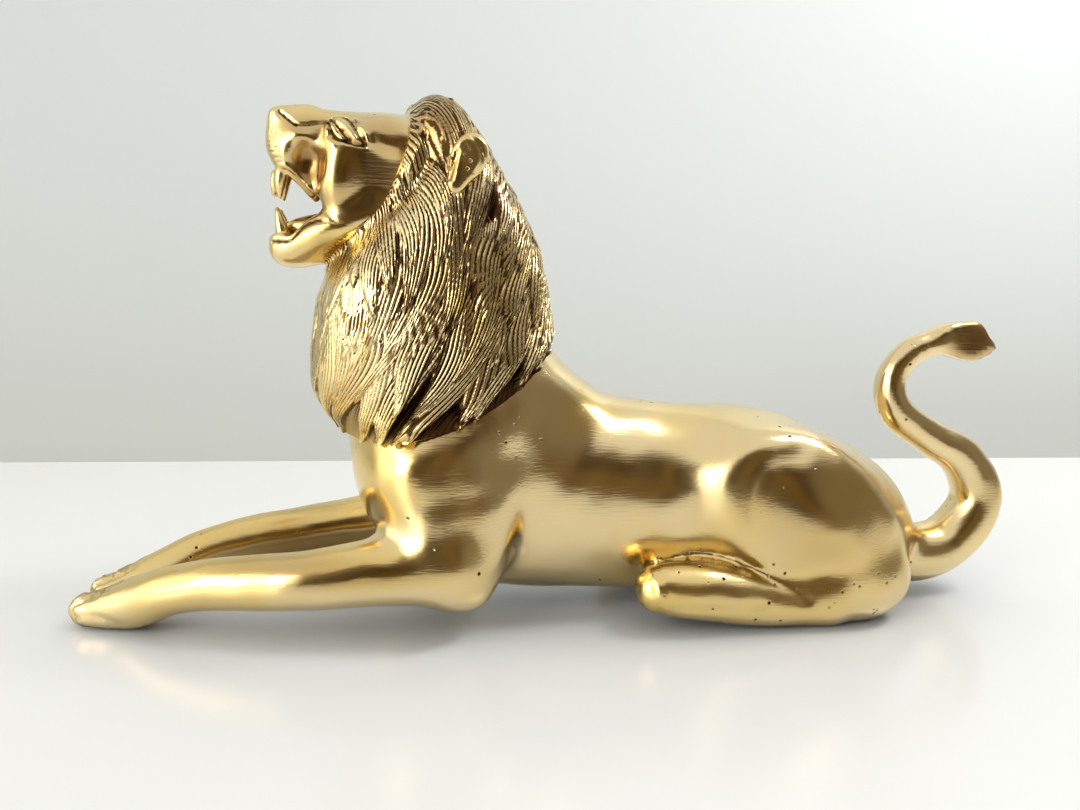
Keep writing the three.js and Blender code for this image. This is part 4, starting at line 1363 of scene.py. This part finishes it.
def room_light():
    """World light: windows overhead and at the left, and a darker warm room behind the viewer."""
    world = bpy.data.worlds.new("room")
    bpy.context.scene.world = world
    world.use_nodes = True
    nodes, links = world.node_tree.nodes, world.node_tree.links
    background = nodes["Background"]
    place = add_node(nodes, links, "ShaderNodeTexCoord").outputs["Generated"]
    parts = add_node(nodes, links, "ShaderNodeSeparateXYZ", {"Vector": place}).outputs
    clutter = noise(nodes, links, place, CLUTTER_SCALE, 2.0)
    room = mix_color(nodes, links, map_range(nodes, links, clutter, (0.4, 0.62)), DARK_ROOM, LIT_ROOM)
    rightward = map_range(nodes, links, parts["X"], (0.35, 0.75))
    level = mix_color(nodes, links, rightward, room, RIGHT_WALL)
    leftward = map_range(nodes, links, parts["X"], (-0.45, -0.62))
    level = mix_color(nodes, links, leftward, level, LEFT_WINDOW)
    ahead = map_range(nodes, links, parts["Y"], (0.0, 0.3))
    level = mix_color(nodes, links, ahead, level, FAR_WALL)
    overhead = map_range(nodes, links, parts["Z"], (0.52, 0.72))
    sky = mix_color(nodes, links, overhead, level, CEILING)
    links.new(sky, background.inputs["Color"])
    background.inputs["Strength"].default_value = 1.0


class LION_OT_stage(Operator):
    """Set up the floor, the backdrop, the lights and the camera."""

    bl_idname = "lion.stage"
    bl_label = "Set the Stage"

    def execute(self, context):
        settings = context.scene.lion_stage
        plain_stage(settings)
        room_light()
        for name, (place, target, size, share) in SOFT_LIGHTS.items():
            soft_light(name, place, target, size, settings.window_power * share)
        camera()
        context.scene.view_settings.view_transform = "Standard"
        # The photo's floor has no bright patches thrown by the brass.
        context.scene.cycles.caustics_reflective = False
        return {"FINISHED"}


class LION_PT_panel(Panel):
    """Lists the lion's steps in the sidebar."""

    bl_idname = "LION_PT_panel"
    bl_label = "Brass Lion"
    bl_space_type = "VIEW_3D"
    bl_region_type = "UI"
    bl_category = "Lion"

    def draw(self, context):
        for settings in (context.scene.lion_carving, context.scene.lion_finish, context.scene.lion_stage):
            for name in settings.__annotations__:
                self.layout.prop(settings, name)
        for step in STEPS:
            self.layout.operator(step.bl_idname)


GROUPS = {"lion_carving": LionCarving, "lion_finish": LionFinish, "lion_stage": StageSettings}
STEPS = (LION_OT_stage, LION_OT_cast)


def register():
    for item in (*GROUPS.values(), *STEPS, LION_PT_panel):
        bpy.utils.register_class(item)
    for name, group in GROUPS.items():
        setattr(bpy.types.Scene, name, PointerProperty(type=group))


def unregister():
    for name in GROUPS:
        delattr(bpy.types.Scene, name)
    for item in (LION_PT_panel, *reversed(STEPS), *GROUPS.values()):
        bpy.utils.unregister_class(item)


def main():
    register()
    bpy.ops.lion.stage()
    bpy.ops.lion.cast()


if __name__ == "__main__":
    main()
